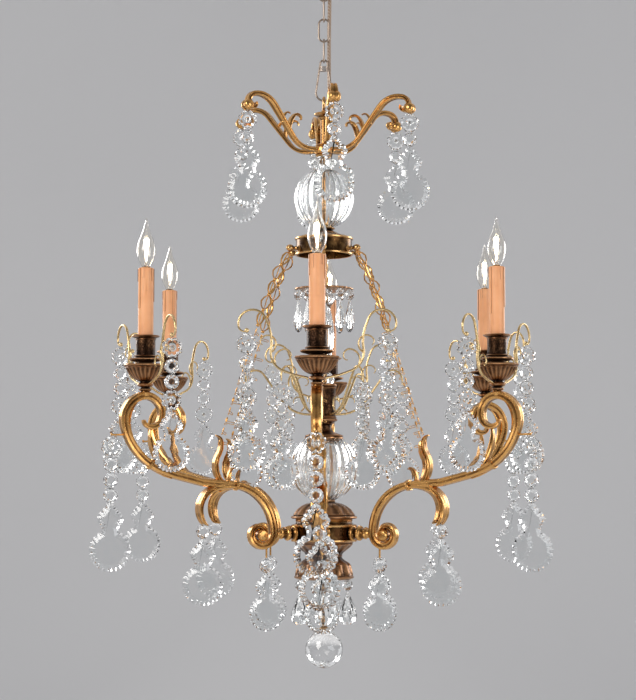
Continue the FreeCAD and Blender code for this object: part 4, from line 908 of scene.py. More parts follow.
def makeBaluster():
    top = levels["balusterTop"]
    rows = fallFrom(top, [
        (12.0, 0), (13.6, 1.6), (12.6, 5.0), (15.6, 9.0), (17.0, 14.6), (15.4, 20.0), (11.0, 25.0),
        (10.2, 29.0),
        (11.6, 36.0), (14.2, 48.0), (16.0, 62.0), (16.2, 74.0), (14.8, 88.0), (12.4, 100.0), (10.6, 108.0),
        (9.2, 120.0), (8.6, 127.0), (10.4, 130.0), (14.6, 134.0), (16.8, 138.6), (16.6, 142.0),
        (14.0, 146.0)])
    shaft = turned("glassBaluster", boredThrough(rows, top - 146.0, top), sides=72, hollow=True)
    ribbed(shaft, 12, 72, 0.1, top - 122.0, top - 30.0, inside=8.4)
    ribbed(shaft, 12, 72, 0.08, top - 22.0, top - 7.0, inside=12.8)
    dressed(shaft, columnGlass, "fixture", ["glass_baluster"], 45)


def makeSleeve():
    # engraved brass sleeve between rings, over a waisted neck and the wide collar of the glass ball
    top, neckTop, collar = levels["sleeveTop"], levels["neckTop"], levels["lowCollarTop"]
    rows = [
        (29.0, collar - 6.0), (30.2, collar - 5.0), (30.2, collar - 3.6), (28.8, collar - 2.8),
        (30.0, collar - 1.6),
        (29.2, collar - 0.4), (24.0, collar + 1.6), (16.0, collar + 4.2), (12.6, collar + 7.0),
        (11.4, collar + 10.0),
        (11.6, neckTop - 8.0), (13.6, neckTop - 6.2), (15.8, neckTop - 5.2), (15.2, neckTop - 3.8),
        (17.6, neckTop - 2.6), (20.4, neckTop - 1.0), (21.0, neckTop + 0.8), (19.8, neckTop + 2.2),
        (18.8, neckTop + 2.8), (19.6, neckTop + 4.0), (18.4, neckTop + 5.4), (18.0, neckTop + 6.4),
        (18.0, top - 8.6), (18.6, top - 7.6), (19.8, top - 6.6), (18.8, top - 5.6), (18.4, top - 4.8),
        (20.0, top - 3.6), (20.2, top - 2.0), (18.6, top - 0.8), (14.0, top),
    ]
    sleeve = turned("columnSleeve", boredThrough(rows, collar - 6.0, top), sides=72, hollow=True)
    sleeve.data.materials.append(bronze)
    sleeve.data.materials.append(engravedBrass)
    low, high = (neckTop + 6.4) * mm, (top - 8.6) * mm
    for face in sleeve.data.polygons:
        if low < face.center.z < high and math.hypot(face.center.x, face.center.y) > 0.012:
            face.material_index = 1
    dressed(sleeve, None, "fixture", ["column_sleeve"], 35)


def makeHub():
    # gadrooned dome, waist, plain hub band and the bell with its dish
    top = levels["domeTop"]
    dome = fallFrom(top, [
        (15.0, 0), (17.2, 0.8), (17.2, 2.2), (15.8, 3.0), (18.0, 3.8), (28.0, 5.8), (36.0, 9.6), (42.4, 14.6),
        (46.2, 19.4), (48.0, 23.0), (47.4, 24.2), (50.2, 25.0), (51.0, 26.0), (51.0, 27.4), (49.0, 29.0)])
    shape = turned("hubDome", boredThrough(dome, top - 29.0, top), sides=96, hollow=True)
    ribbed(shape, 16, 96, 0.07, top - 22.0, top - 5.0, inside=20.0)
    dressed(shape, bronze, "fixture", ["hub_dome"], 40)
    waistTop, hubTop = levels["waistTop"], levels["hubTop"]
    foot = hubTop - 26.0
    hub = [(49.6, foot), (50.8, foot + 0.8), (50.8, foot + 2.6), (49.4, foot + 3.4), (49.4, hubTop - 4.2),
           (50.8, hubTop - 3.4), (51.0, hubTop - 1.2), (50.0, hubTop), (46.0, hubTop + 0.8),
           (44.0, hubTop + 2.0),
           (43.2, hubTop + 4.6), (44.4, hubTop + 6.6), (43.4, waistTop)]
    shape = turned("hubBand", boredThrough(hub, foot, waistTop), sides=96, hollow=True)
    dressed(shape, brass, "fixture", ["hub_body"], 35)
    top, dishTop, dishFoot = levels["bellTop"], levels["dishTop"], levels["dishFoot"]
    bell = [
        (40.0, dishFoot), (43.2, dishFoot + 1.0), (45.8, dishFoot + 2.6), (46.0, dishFoot + 4.6),
        (44.6, dishFoot + 5.8), (45.6, dishFoot + 8.0), (44.8, dishFoot + 12.0), (42.0, dishTop - 12.0),
        (39.8, dishTop - 9.0), (33.0, dishTop - 5.0), (28.6, dishTop - 1.8), (27.4, dishTop + 0.4),
        (28.6, dishTop + 2.0), (27.6, dishTop + 3.6), (30.0, dishTop + 7.0), (34.0, dishTop + 10.0),
        (39.6, dishTop + 14.4), (43.6, dishTop + 18.0), (44.6, dishTop + 20.0), (43.8, dishTop + 21.4),
        (45.4, dishTop + 22.6), (45.6, top)]
    shape = turned("lowerBell", boredThrough(bell, dishFoot, top), sides=96, hollow=True)
    ribbed(shape, 16, 96, 0.06, dishTop + 4.0, dishTop + 18.4, inside=26.0)
    ribbed(shape, 16, 96, 0.05, dishFoot + 6.0, dishTop - 4.0, inside=30.0)
    dressed(shape, bronze, "fixture", ["lower_bell"], 35)


def makeFinial():
    # facet-cut ball: a round stone with its corners cut off
    radius = 29.2
    centre = levels["finialTop"] - radius
    freshStart()
    bpy.ops.mesh.primitive_ico_sphere_add(subdivisions=3, radius=radius * mm, location=(0, 0, centre * mm))
    ball = settle(bpy.context.object)
    ball.name = "finialBall"
    openMesh(ball)
    bpy.ops.mesh.select_all(action='SELECT')
    bpy.ops.mesh.bevel(offset=1.9 * mm, affect='VERTICES', segments=1)
    closeMesh()
    dressed(ball, crystal, "fixture", ["finial_ball"])


makeStem()
makeKnop()
makeMeltBall("upperGlassBall", "top_ball", levels["ballTop"], meltBall, meltBall["height"] / 2)
makeDrum()
makeDropPlate()
makeBaluster()
makeSleeve()
makeMeltBall("lowerGlassBall", "lower_ball", levels["lowBallTop"], lowBall, lowBall["rise"])
makeHub()
makeFinial()
print("column stacked")

# ---- cast arms: volute, arch, hooked leaf, outer scroll, branch and upright leaf

armSizes = {
    "turn": -2.0, "start": 88.0, "lift": 2.0, "depth": 13.0, "width": 16.0, "hubLevel": -976.9,
    "volute": 20.0, "arch": 72.0, "reach": 299.0, "seat": -765.1,
}


def makeArm():
    volute, arch, level = armSizes["volute"], armSizes["arch"], armSizes["hubLevel"]
    depth, width = armSizes["depth"], armSizes["width"]
    foot = (armSizes["start"] + volute, level - volute + armSizes["lift"])
    crest = (armSizes["start"] + arch, level + arch + armSizes["lift"])
    parts = []
    # the volute curls once more inside than the plain bar does
    archStops = walk(foot, 180.0, [(volute, -90.0), (arch, -90.0), (75.0, -25.0)], 7.5)
    parts.append(swept("armArch", archStops,
                       [(0, depth, width), (0.5, depth * 1.05, width), (1, depth * 0.9, width)],
                       groove=0.24, corner=0.12))
    curlStops = walk(foot, 0.0, [(17.0, 80.0), (13.0, 90.0), (9.5, 90.0), (7.0, 60.0)], 15.0)
    parts.append(swept("voluteCurl", curlStops,
                       [(0, depth, width), (0.4, depth * 0.85, width * 0.95), (1, depth * 0.55, width * 0.7)],
                       groove=0.22, corner=0.12))
    knobPlace = (foot[0] + 1.0, foot[1] + 16.0)
    knob = turned("voluteKnob", [(2.0, -13.4), (6.6, -12.6), (8.6, -10.2), (8.8, -8.0), (7.0, -6.6),
                                 (7.0, 6.6),
                                 (8.8, 8.0), (8.6, 10.2), (6.6, 12.6), (2.0, 13.4)], sides=24)
    parts.append(copied(knob, place=(knobPlace[0], 0, knobPlace[1]), turn=(90, 0, 0)))
    bpy.data.objects.remove(knob)
    # hooked leaf under the crest: three long lobes that curl in at their tips
    shoulder = archStops[-1]
    for aside, thick, long, spare in ((0.0, 9.0, 105.0, 0.0), (-5.4, 7.6, 98.0, 1.2), (5.4, 7.6, 98.0, 1.2)):
        stops = walk(shoulder[:2], -25.0, [(32.0 + spare, -long), (12.0, -38.0)], 8.0)
        lobe = swept("hookLobe", stops, [(0, 10.0, 12.0), (0.3, thick, 12.5), (0.75, thick * 0.8, 10.5),
                                         (0.92, thick * 0.55, 8.0), (1, 2.0, 3.0)], groove=0.2, corner=0.1)
        parts.append(copied(lobe, place=(0, aside, 0)))
        bpy.data.objects.remove(lobe)
    # a collar leaf laid over the root of the hook
    mantleStops = walk((shoulder[0] - 16.0, shoulder[1] + 9.0), -8.0, [(40.0, -80.0), (16.0, -50.0)], 9.0)
    parts.append(swept("hookMantle", mantleStops,
                       [(0, 3.0, 6.0), (0.2, 5.0, 17.0), (0.55, 5.0, 29.0), (0.8, 4.4, 25.0),
                        (1, 1.6, 6.0)], groove=0.3, corner=0.0, notch=0.1))
    # outer scroll
    scrollMoves = [(300.0, 18.0), (17.0,), (95.0, 57.0), (36.0, 90.0), (26.0, 130.0), (15.0, 95.0),
                   (9.0, 60.0)]
    scrollStops = walk(crest, 0.0, scrollMoves, 7.5)
    parts.append(swept("armScroll", scrollStops,
                       [(0, depth, width), (0.5, depth, width), (0.72, depth * 1.05, width * 1.1),
                        (0.86, depth * 0.9, width), (0.95, depth * 0.7, width * 0.85),
                        (1, depth * 0.4, width * 0.5)],
                       groove=0.24, corner=0.12))
    # spine leaf laid on the outside of the scroll's rise
    spineStops = walk((crest[0] + 96.0, crest[1] + 9.0), 16.0, [(96.0, 60.0), (46.0, 60.0)], 8.0)
    parts.append(swept("scrollSpine", spineStops,
                       [(0, 2.0, 5.0), (0.2, 5.4, 9.0), (0.7, 5.4, 8.0), (1, 2.0, 3.0)],
                       groove=0.0, corner=0.0, sides=8))
    # branch that rises from the sweep to the scroll's curl
    branchStops = walk((crest[0] + 92.0, crest[1] + 16.0), 22.0, [(62.0, 62.0), (44.0, 24.0)], 7.0)
    parts.append(swept("armBranch", branchStops,
                       [(0, 5.0, 10.0), (0.3, 9.0, 14.0), (0.75, 7.0, 13.0), (1, 2.4, 5.0)],
                       groove=0.26, corner=0.1, notch=0.05))
    # upright leaf on the crest, its tip turned out
    leafStops = walk((crest[0] + 8.0, crest[1] - 1.0), 30.0,
                     [(34.0, 72.0), (30.0, 20.0), (30.0, -42.0), (9.0, -75.0)], 9.0)
    parts.append(swept("crestLeaf", leafStops,
                       [(0, 8.0, 12.0), (0.3, 8.5, 19.0), (0.65, 6.5, 20.0), (0.88, 5.0, 15.0),
                        (1, 2.0, 5.0)], groove=0.3, corner=0.05, notch=0.12))
    backStops = walk((crest[0] + 2.0, crest[1] + 2.0), 75.0, [(26.0, 40.0), (10.0, 70.0)], 10.0)
    parts.append(swept("crestCurl", backStops, [(0, 6.0, 10.0), (0.5, 4.6, 11.0), (1, 2.0, 4.0)],
                       groove=0.25, corner=0.05))
    # wire ties wound round the bar
    for x, z, heading in (archStops[-5], scrollStops[5]):
        tie = turned("armTie", [(9.6, -2.6), (10.3, -1.4), (9.7, -0.2), (10.3, 1.2), (9.6, 2.4), (6.5, 2.4),
                                (6.5, -2.6),
                                (9.6, -2.6)], sides=20, hollow=True)
        parts.append(copied(tie, place=(x, 0, z), turn=(0, 90 - heading, 0), scale=(0.82, 0.98, 1)))
        bpy.data.objects.remove(tie)
    # turned nipple between the hub and the arch
    nipple = turned("armNipple", [
        (8.0, 50.2), (11.4, 51.0), (11.4, 53.0), (9.0, 54.0), (7.4, 57.0), (8.4, 60.4), (10.8, 62.0),
        (11.2, 64.0),
        (10.0, 66.2), (7.6, 67.6), (7.0, 71.0), (8.6, 73.4), (8.6, 75.0), (6.8, 77.0), (6.6, 83.0)], sides=28)
    parts.append(copied(nipple, place=(0, 0, level), turn=(0, 90, 0)))
    bpy.data.objects.remove(nipple)
    # pedestal under the candle bowl
    top, seat = max(stop[1] for stop in scrollStops) + depth / 2 - 3.0, armSizes["seat"]
    pedestal = turned("armPedestal", [(6.0, top - 8.0), (8.4, top - 1.0), (9.2, top + 0.6), (7.2, top + 1.8),
                                      (7.0, seat - 0.8), (8.4, seat - 0.1)], sides=28)
    parts.append(copied(pedestal, place=(armSizes["reach"], 0, 0)))
    bpy.data.objects.remove(pedestal)
    # ring pins for the outer strand and under the volute
    outerPin = turned("outerPin", [(1.5, 0), (1.5, 24.0), (2.4, 24.6), (2.4, 26.0), (1.0, 26.6)], sides=10)
    parts.append(copied(outerPin, place=(326.0, 0, crest[1] + 72.5), turn=(0, 90, 0)))
    bpy.data.objects.remove(outerPin)
    volutePin = turned("volutePin", [(1.5, 0), (1.5, 13.6), (2.6, 14.2), (2.6, 16.0)], sides=10)
    parts.append(copied(volutePin, place=(foot[0] - 9.0, 0, -1013.4)))
    bpy.data.objects.remove(volutePin)
    return joined("armCasting", parts)


arms = roundTheAxis("scrollArms", makeArm(), 6, armSizes["turn"])
dressed(arms, castBrass, "fixture", ["scroll_arms"], 40)
print("arms cast", len(arms.data.polygons))

# ---- crown: six curled arms on a turned hub

crownSizes = {"turn": 6.0, "depth": 8.5, "width": 11.5, "level": -379.9, "hub": 15.0}


def makeCrownArm():
    depth, width = crownSizes["depth"], crownSizes["width"]
    moves = [(17.0,), (40.0, 52.0), (58.0,), (36.0, -67.0), (14.0, -85.0), (7.0, -120.0), (4.6, -90.0)]
    stops = walk((crownSizes["hub"] - 4.0, crownSizes["level"]), 0.0, moves, 9.0)
    parts = [swept("crownBar", stops,
                   [(0, depth, width), (0.2, depth * 0.8, width * 0.9), (0.55, depth * 1.15, width * 1.1),
                    (0.8, depth, width), (0.9, depth * 0.8, width * 1.25),
                    (1, depth * 0.5, width * 1.2)],
                   groove=0.26, corner=0.12)]
    knob = turned("crownKnob", [(1.5, -9.6), (5.0, -9.0), (7.8, -6.4), (8.6, -3.0), (7.6, -1.0), (7.6, 1.0),
                                (8.6, 3.0), (7.8, 6.4), (5.0, 9.0), (1.5, 9.6)], sides=20)
    parts.append(copied(knob, place=(144.08, 0, -325.17), turn=(90, 0, 0)))
    bpy.data.objects.remove(knob)
    foot = stops[7]
    sprout = walk((foot[0] + 6.0, foot[1] + 8.0), 76.0, [(26.0, 60.0), (10.0, 70.0), (5.0, 90.0)], 12.0)
    parts.append(swept("crownSprout", sprout,
                       [(0, 4.0, 7.0), (0.35, 6.0, 12.0), (0.7, 4.6, 10.0), (1, 2.0, 5.0)],
                       groove=0.25, corner=0.1, notch=0.1))
    second = walk((foot[0] + 20.0, foot[1] + 20.0), 84.0, [(18.0, 55.0), (7.0, 80.0)], 14.0)
    parts.append(swept("crownLeaf", second, [(0, 3.4, 6.0), (0.5, 4.4, 9.0), (1, 1.6, 3.0)],
                       groove=0.2, corner=0.05, notch=0.08))
    return joined("crownArm", parts)


def makeCrown():
    arms = roundTheAxis("crownArms", makeCrownArm(), 6, crownSizes["turn"])
    top = levels["crownTop"]
    rows = fallFrom(top, [(9.0, 0), (12.0, 0.8), (13.4, 2.0), (12.2, 3.4), (14.6, 4.8), (15.4, 8.0),
                          (15.4, 13.0),
                          (14.2, 15.6), (12.0, 16.6), (13.6, 18.0), (12.8, 19.4), (11.0, 20.0)])
    hub = turned("crownHub", boredThrough(rows, top - 20.0, top), sides=48, hollow=True)
    dressed(joined("crownArms", [arms, hub]), castBrass, "fixture", ["crown_arms"], 40)


makeCrown()
print("crown made")

# ---- candles: fluted bowl, saucer and engraved cup, wax sleeve with drips, holder and lit bulb

candleSizes = {"reach": 299.0, "turn": -2.0, "seat": -765.1, "bowlTop": -726.1, "cupTop": -683.1,
               "sleeve": 11.5, "bore": 10.0, "sleeveTop": -583.1, "holderTop": -592.1, "bulbTop": -508.8}


def ringOfCandles(name, shape):
    placed = copied(shape, place=(candleSizes["reach"], 0, 0))
    bpy.data.objects.remove(shape)
    return roundTheAxis(name, placed, 6, candleSizes["turn"])


def makeBowl():
    low, high = candleSizes["seat"], candleSizes["bowlTop"]
    bowl = turned("candleBowl", [
        (7.6, low + 0.2), (9.4, low + 1.0), (9.6, low + 2.2), (7.6, low + 3.4), (7.0, low + 5.0),
        (10.8, low + 6.8),
        (12.0, low + 8.6), (11.2, low + 10.6), (8.8, low + 12.0), (8.6, low + 13.4), (12.0, low + 14.8),
        (16.4, low + 17.0), (20.6, low + 20.4), (24.6, low + 25.2), (27.4, low + 30.0), (29.0, low + 33.0),
        (30.2, low + 34.0), (29.6, low + 35.0), (31.6, low + 36.2), (32.0, low + 37.4), (31.0, high),
        (28.0, high),
        (24.0, high - 2.6), (14.0, high - 4.4), (9.0, high - 3.0), (8.0, high),
    ], sides=96)
    ribbed(bowl, 24, 96, 0.06, low + 14.0, low + 33.4, inside=11.6)
    ribbed(bowl, 12, 96, 0.03, low + 35.6, high + 0.1, inside=29.0)
    dressed(ringOfCandles("candleBowls", bowl), bronze, "fixture", ["candle_bowls"], 38)


def makeCup():
    low, high = candleSizes["bowlTop"], candleSizes["cupTop"]
    cup = turned("candleCup", [
        (9.0, low), (11.6, low + 0.8), (10.4, low + 2.0), (15.0, low + 3.4), (21.6, low + 5.2),
        (23.8, low + 6.4),
        (24.0, low + 7.8), (22.6, low + 8.8), (17.0, low + 9.2), (16.2, low + 10.6), (17.2, low + 11.8),
        (16.0, low + 13.0), (14.6, low + 13.8), (14.5, high - 7.4), (15.4, high - 6.4), (15.0, high - 5.2),
        (16.2, high - 4.0), (19.4, high - 2.8), (21.0, high - 1.6), (20.6, high - 0.6), (18.0, high),
    ], sides=64)
    cup.data.materials.append(bronze)
    cup.data.materials.append(engravedBrass)
    for face in cup.data.polygons:
        if (low + 14.0) * mm < face.center.z < (high - 7.0) * mm:
            face.material_index = 1
    dressed(ringOfCandles("candleCups", cup), None, "fixture", ["candle_cups"], 35)


def makeSleeve():
    # the wax look: a sleeve with an uneven melted rim and long drips that stand proud
    low, high = candleSizes["cupTop"], candleSizes["sleeveTop"]
    radius, hole = candleSizes["sleeve"], candleSizes["bore"]
    sides = 48
    heights = [low + 0.05] + [low + 100.0 * k / 20 for k in range(1, 20)] + [high - 1.2]
    rows = [(radius, z) for z in heights] + [(radius - 0.5, high - 0.3), (hole + 0.4, high),
                                             (hole, high - 1.0)]
    rows += [(hole, low + 0.05), (radius, low + 0.05)]
    sleeve = turned("candleSleeve", rows, sides=sides, hollow=True)
    sleeve.data.materials.append(wax)
    sleeve.data.materials.append(waxDripShade)
    drips = [(0, 3, 62.0), (5, 2, 16.0), (9, 3, 34.0), (15, 2, 22.0), (20, 3, 48.0), (27, 2, 14.0),
             (31, 3, 70.0),
             (38, 2, 30.0), (43, 2, 20.0)]
    openMesh(sleeve)
    for first, count, long in drips:
        def inDrip(centre, normal):
            index = int((math.atan2(centre.y, centre.x) % math.tau) / math.tau * sides)
            along = (index - first) % sides < count
            outside = math.hypot(centre.x, centre.y) > (radius - 0.4) * mm
            return along and outside and high - long < centre.z / mm < high - 0.8
        pickFaces(sleeve, inDrip)
        bpy.ops.mesh.extrude_region_move(TRANSFORM_OT_translate={"value": (0, 0, 0)})
        grow(1.075, 1.075, 1, (0, 0, high * mm))
        bpy.ops.mesh.inset(thickness=0.35 * mm, depth=0)
    closeMesh()
    # the sides of the drips take the dark wax: painted shade along each drip
    for face in sleeve.data.polygons:
        reach = math.hypot(face.center.x, face.center.y)
        outward = abs(face.normal.x * face.center.x + face.normal.y * face.center.y)
        sideways = outward < 0.55 * max(reach, 1e-6)
        if reach > (radius + 0.1) * mm and sideways and face.center.z / mm < high - 0.8:
            face.material_index = 1
    dressed(ringOfCandles("candleSleeves", sleeve), None, "fixture", ["candle_sleeves"], 30)


def makeHolder():
    low, high = candleSizes["cupTop"], candleSizes["holderTop"]
    holder = turned("lampHolder", [
        (8.8, low + 0.1), (9.1, low + 1.0), (9.1, high - 12.0), (8.4, high - 11.0), (8.4, high - 3.0),
        (9.1, high - 2.4),
        (9.1, high - 0.6), (8.6, high), (7.4, high), (7.4, high - 4.0), (2.0, high - 5.0)], sides=28)
    dressed(ringOfCandles("lampHolders", holder), holderCard, "fixture", ["lamp_holders"], 35)


def makeBulb():
    # clear flame-tip lamp: threaded brass base, thin envelope, glass stem, lit hairpin filament
    base, tip = candleSizes["holderTop"] + 0.3, candleSizes["bulbTop"]
    outer = [
        (6.2, base + 8.8), (6.6, base + 10.4), (8.0, base + 14.0), (10.8, base + 19.6), (13.0, base + 26.0),
        (14.1, base + 33.0), (14.0, base + 38.0), (12.9, base + 44.6), (10.8, base + 51.0),
        (8.4, base + 57.0),
        (6.2, base + 62.6), (4.6, base + 68.0), (3.2, base + 73.6), (2.1, base + 78.6), (1.3, base + 81.4),
        (0.5, tip)]
    inner = [(max(r - 0.7, 0.3), z - (1.4 if z > base + 76 else 0.0)) for r, z in outer[::-1]]
    envelope = painted(turned("bulbGlass", outer + inner[:-1] + [(5.4, base + 9.0), outer[0]], sides=28,
                              hollow=True),
                       bulbGlass)
    closeTop(envelope)
    smoothOff(envelope, 70)
    threads = []
    for k in range(4):
        threads += [(5.9, base + 1.2 + 2.2 * k), (6.5, base + 2.3 + 2.2 * k)]
    cap = painted(turned("bulbCap",
                         [(3.0, base), (5.6, base + 0.4)] + threads + [(6.4, base + 9.6), (6.0, base + 10.6),
                                                                       (3.0, base + 10.8)], sides=28),
                  brass)
    smoothOff(cap, 35)
    stem = painted(turned("bulbStem",
                          [(3.6, base + 10.9), (2.6, base + 14.0), (1.7, base + 19.0), (1.3, base + 25.0),
                           (1.9, base + 27.0), (0.8, base + 28.0)], sides=12), bulbGlass)
    smoothOff(stem, 60)
    loops = []
    for turn in (0.0, 90.0):
        stops = walk((-1.4, base + 25.0), 96.0, [(24.0,), (3.2, -96.0), (0.6,), (3.2, -96.0), (24.0,)], 20.0)
        wire = swept("filament", stops, [(0, 0.9, 0.9), (0.25, 1.9, 1.9), (0.75, 1.9, 1.9), (1, 0.9, 0.9)],
                     sides=6)
        loops.append(copied(wire, turn=(0, 0, turn)))
        bpy.data.objects.remove(wire)
    filament = painted(joined("filament", loops), filamentGlow)
    bulbs = ringOfCandles("candleBulbs", joined("candleBulb", [envelope, cap, stem, filament]))
    dressed(bulbs, None, "fixture", ["bulbs"])


def closeTop(shape):
    # the tip of the envelope is drawn shut
    openMesh(shape)
    bpy.ops.mesh.select_all(action='DESELECT')
    bpy.ops.mesh.select_non_manifold()
    bpy.ops.mesh.fill_holes(sides=0)
    closeMesh()


makeBowl()
makeCup()
makeSleeve()
makeHolder()
makeBulb()
print("candles set")

# ---- wire scrolls across the bowls, and the hooks between the arms

scrollSizes = {"wire": 3.6, "start": (12.3, -756.1)}


def makeScrolls():
    wire = scrollSizes["wire"]
    moves = [(130.0, 17.0), (27.0, 75.0), (60.0, -30.0), (12.0,), (20.0, -168.0), (9.0, -100.0)]
    stops = walk(scrollSizes["start"], 8.0, moves, 11.0)
    section = [(0, wire, wire * 1.1), (0.5, wire * 0.95, wire * 1.15), (0.85, wire * 0.9, wire),
               (1, wire * 0.6, wire * 0.7)]
    parts = [swept("scrollWire", stops, section, sides=10)]
    # the small inner curl that leaves the wire's corner
    corner = stops[8]
    curl = walk((corner[0] - 1.0, corner[1] + 1.0), 150.0, [(13.0, -100.0), (11.0, -110.0), (6.0, -90.0)],
                14.0)
    parts.append(swept("scrollCurl", curl, [(0, 2.6, 3.0), (0.6, 2.6, 3.0), (1, 1.4, 1.8)], sides=8))
    second = walk((stops[4][0], stops[4][1] + 1.0), 60.0, [(15.0, 110.0), (9.0, 120.0), (5.0, 80.0)], 14.0)
    parts.append(swept("scrollCurlLow", second, [(0, 2.6, 3.0), (0.6, 2.6, 3.0), (1, 1.4, 1.8)], sides=8))
    bud = turned("scrollBud", [(0.8, -3.4), (2.8, -2.0), (3.2, 0), (2.8, 2.0), (0.8, 3.4)], sides=12)
    end = stops[-1]
    parts.append(copied(bud, place=(end[0], 0, end[1] + 1.0)))
    bpy.data.objects.remove(bud)
    half = joined("scrollHalf", parts)
    pair = joined("scrollPair", [copied(half, turn=(0, 0, 90)), copied(half, turn=(0, 0, -90))])
    bpy.data.objects.remove(half)
    scrolls = ringOfCandles("candleScrolls", pair)
    dressed(scrolls, scrollWire, "fixture", ["candle_scrolls"], 45)


def makeColumnHooks():
    moves = [(6.0,), (50.0, 55.0), (50.0,), (15.0, -145.0), (8.0,)]
    stops = walk((18.3, -793.9), 0.0, moves, 10.0)
    hook = swept("columnHook", stops, [(0, 3.6, 4.4), (0.6, 3.4, 4.0), (0.9, 3.0, 3.4), (1, 1.8, 2.0)],
                 sides=10)
    curl = walk((36.0, -789.0), 150.0, [(12.0, -130.0), (7.0, -130.0)], 14.0)
    twig = swept("hookCurl", curl, [(0, 2.4, 2.8), (0.7, 2.4, 2.6), (1, 1.2, 1.4)], sides=8)
    hooks = roundTheAxis("columnHooks", joined("columnHook", [hook, twig]), 6, 28.0)
    dressed(hooks, scrollWire, "fixture", ["column_hooks"], 45)


makeScrolls()
makeColumnHooks()
print("wire scrolls bent")

# ---- swags: pierced husks above, fine chain below

swagSizes = {"start": (60.0, -543.3), "bow": 8.0, "husks": 5, "links": 6, "share": 0.40, "width": 15.0}


def makeHusk(half):
    # an openwork husk: two leaf-shaped bars meeting at their tips, a spine between them and a bead on them
    parts = []
    wide = swagSizes["width"] / 2
    for side in (1, -1):
        stops = []
        for k in range(9):
            share = k / 8
            x = (share * 2 - 1) * half
            z = side * wide * math.sin(math.pi * share) ** 0.85 * (0.92 if k % 2 else 1.0)
            stops.append((x, z))
        path = []
        for k, (x, z) in enumerate(stops):
            before, after = stops[max(k - 1, 0)], stops[min(k + 1, 8)]
            path.append((x, z, math.degrees(math.atan2(after[1] - before[1], after[0] - before[0]))))
        parts.append(swept("huskBar", path, [(0, 1.6, 2.6), (0.5, 2.8, 4.0), (1, 1.6, 2.6)], sides=6))
    spine = [(-half * 0.9, 0, 0.0), (-half * 0.3, 0.4, 0.0), (half * 0.3, -0.4, 0.0), (half * 0.9, 0, 0.0)]
    parts.append(swept("huskSpine", spine, [(0, 1.0, 1.6), (0.5, 2.4, 2.6), (1, 1.0, 1.6)], sides=6))
    bead = turned("huskBead", [(0.8, -2.4), (2.4, -1.4), (2.7, 0), (2.4, 1.4), (0.8, 2.4)], sides=8)
    parts.append(copied(bead, place=(half, 0, 0), turn=(0, 90, 0)))
    bpy.data.objects.remove(bead)
    return joined("husk", parts)


def makeFineLink(half):
    # a slim open link and the small ring that joins it to the next
    stops = walk((half * 0.62, -1.5), 90.0, [(1.5, 180.0), (half * 1.24,), (1.5, 180.0), (half * 1.24,)],
                 30.0)
    shape = swept("fineLink", stops, [(0, 1.1, 1.2), (1, 1.1, 1.2)], sides=6, closed=True)
    leaf = swept("fineLeaf", [(-half * 0.5, 0, 0), (-half * 0.2, 0, 0), (half * 0.2, 0, 0),
                              (half * 0.5, 0, 0)],
                 [(0, 1.2, 1.0), (0.3, 3.4, 1.6), (0.7, 3.4, 1.6), (1, 1.2, 1.0)], sides=8)
    ring = swept("fineRing", walk((half * 0.86, -1.4), 0.0, [(1.4, 360.0)], 45.0),
                 [(0, 0.9, 0.9), (1, 0.9, 0.9)],
                 sides=6, closed=True)
    return joined("fineLink", [shape, leaf, copiedAway(ring)])


def copiedAway(shape):
    copy = copied(shape)
    bpy.data.objects.remove(shape)
    return copy


def makeSwags(leafTip):
    start, end = swagSizes["start"], (leafTip[0], leafTip[1] + 2.5)
    run = (end[0] - start[0], end[1] - start[1])
    long = math.hypot(*run)
    out = (-run[1] / long, run[0] / long)
    if out[0] < 0:
        out = (-out[0], -out[1])

    def spot(share):
        lift = swagSizes["bow"] * math.sin(math.pi * math.sqrt(share))
        return (start[0] + run[0] * share + out[0] * lift, start[1] + run[1] * share + out[1] * lift)

    husks, links, share = swagSizes["husks"], swagSizes["links"], swagSizes["share"]
    spots = [spot(share * k / husks) for k in range(husks)]
    spots += [spot(share + (1 - share) * k / links) for k in range(links + 1)]
    parts = []
    for k, (first, second) in enumerate(zip(spots, spots[1:])):
        middle = ((first[0] + second[0]) / 2, 0, (first[1] + second[1]) / 2)
        half = math.dist(first, second) / 2
        tilt = math.degrees(math.atan2(second[1] - first[1], second[0] - first[0]))
        if k < husks:
            link = makeHusk(half - 0.6)
            parts.append(copied(link, place=middle, turn=(25 if k % 2 else -25, -tilt, 0)))
            bpy.data.objects.remove(link)
            continue
        for part in (-0.5, 0.5):
            link = makeFineLink(half / 2)
            place = (middle[0] + part * half * math.cos(math.radians(tilt)), 0,
                     middle[2] + part * half * math.sin(math.radians(tilt)))
            parts.append(copied(link, place=place, turn=(40 if part > 0 else -40, -tilt, 0)))
            bpy.data.objects.remove(link)
    swags = roundTheAxis("swagChains", joined("swag", parts), 6, -2.0)
    dressed(swags, castBrass, "fixture", ["swag_chains"], 45)


lowCorner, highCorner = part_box("swag_chains")
makeSwags((max(highCorner[0], -lowCorner[0]) / mm / math.sin(math.radians(58.0)) * 0.985, lowCorner[2] / mm))
print("swags hung")

# ---- cut crystal: rosettes, octagons, scalloped plates, almonds and drops

stones = {"rosette": 15.0, "octagon": 11.0, "plate": (101.0, 63.0), "smallPlate": (89.0, 54.0), "thick": 5.5,
          "smallOctagon": 7.0, "almond": (50.0, 15.0), "teardrop": (51.0, 28.0), "bead": 8.0,
          "hangGap": 0.7, "beadGap": 0.4}
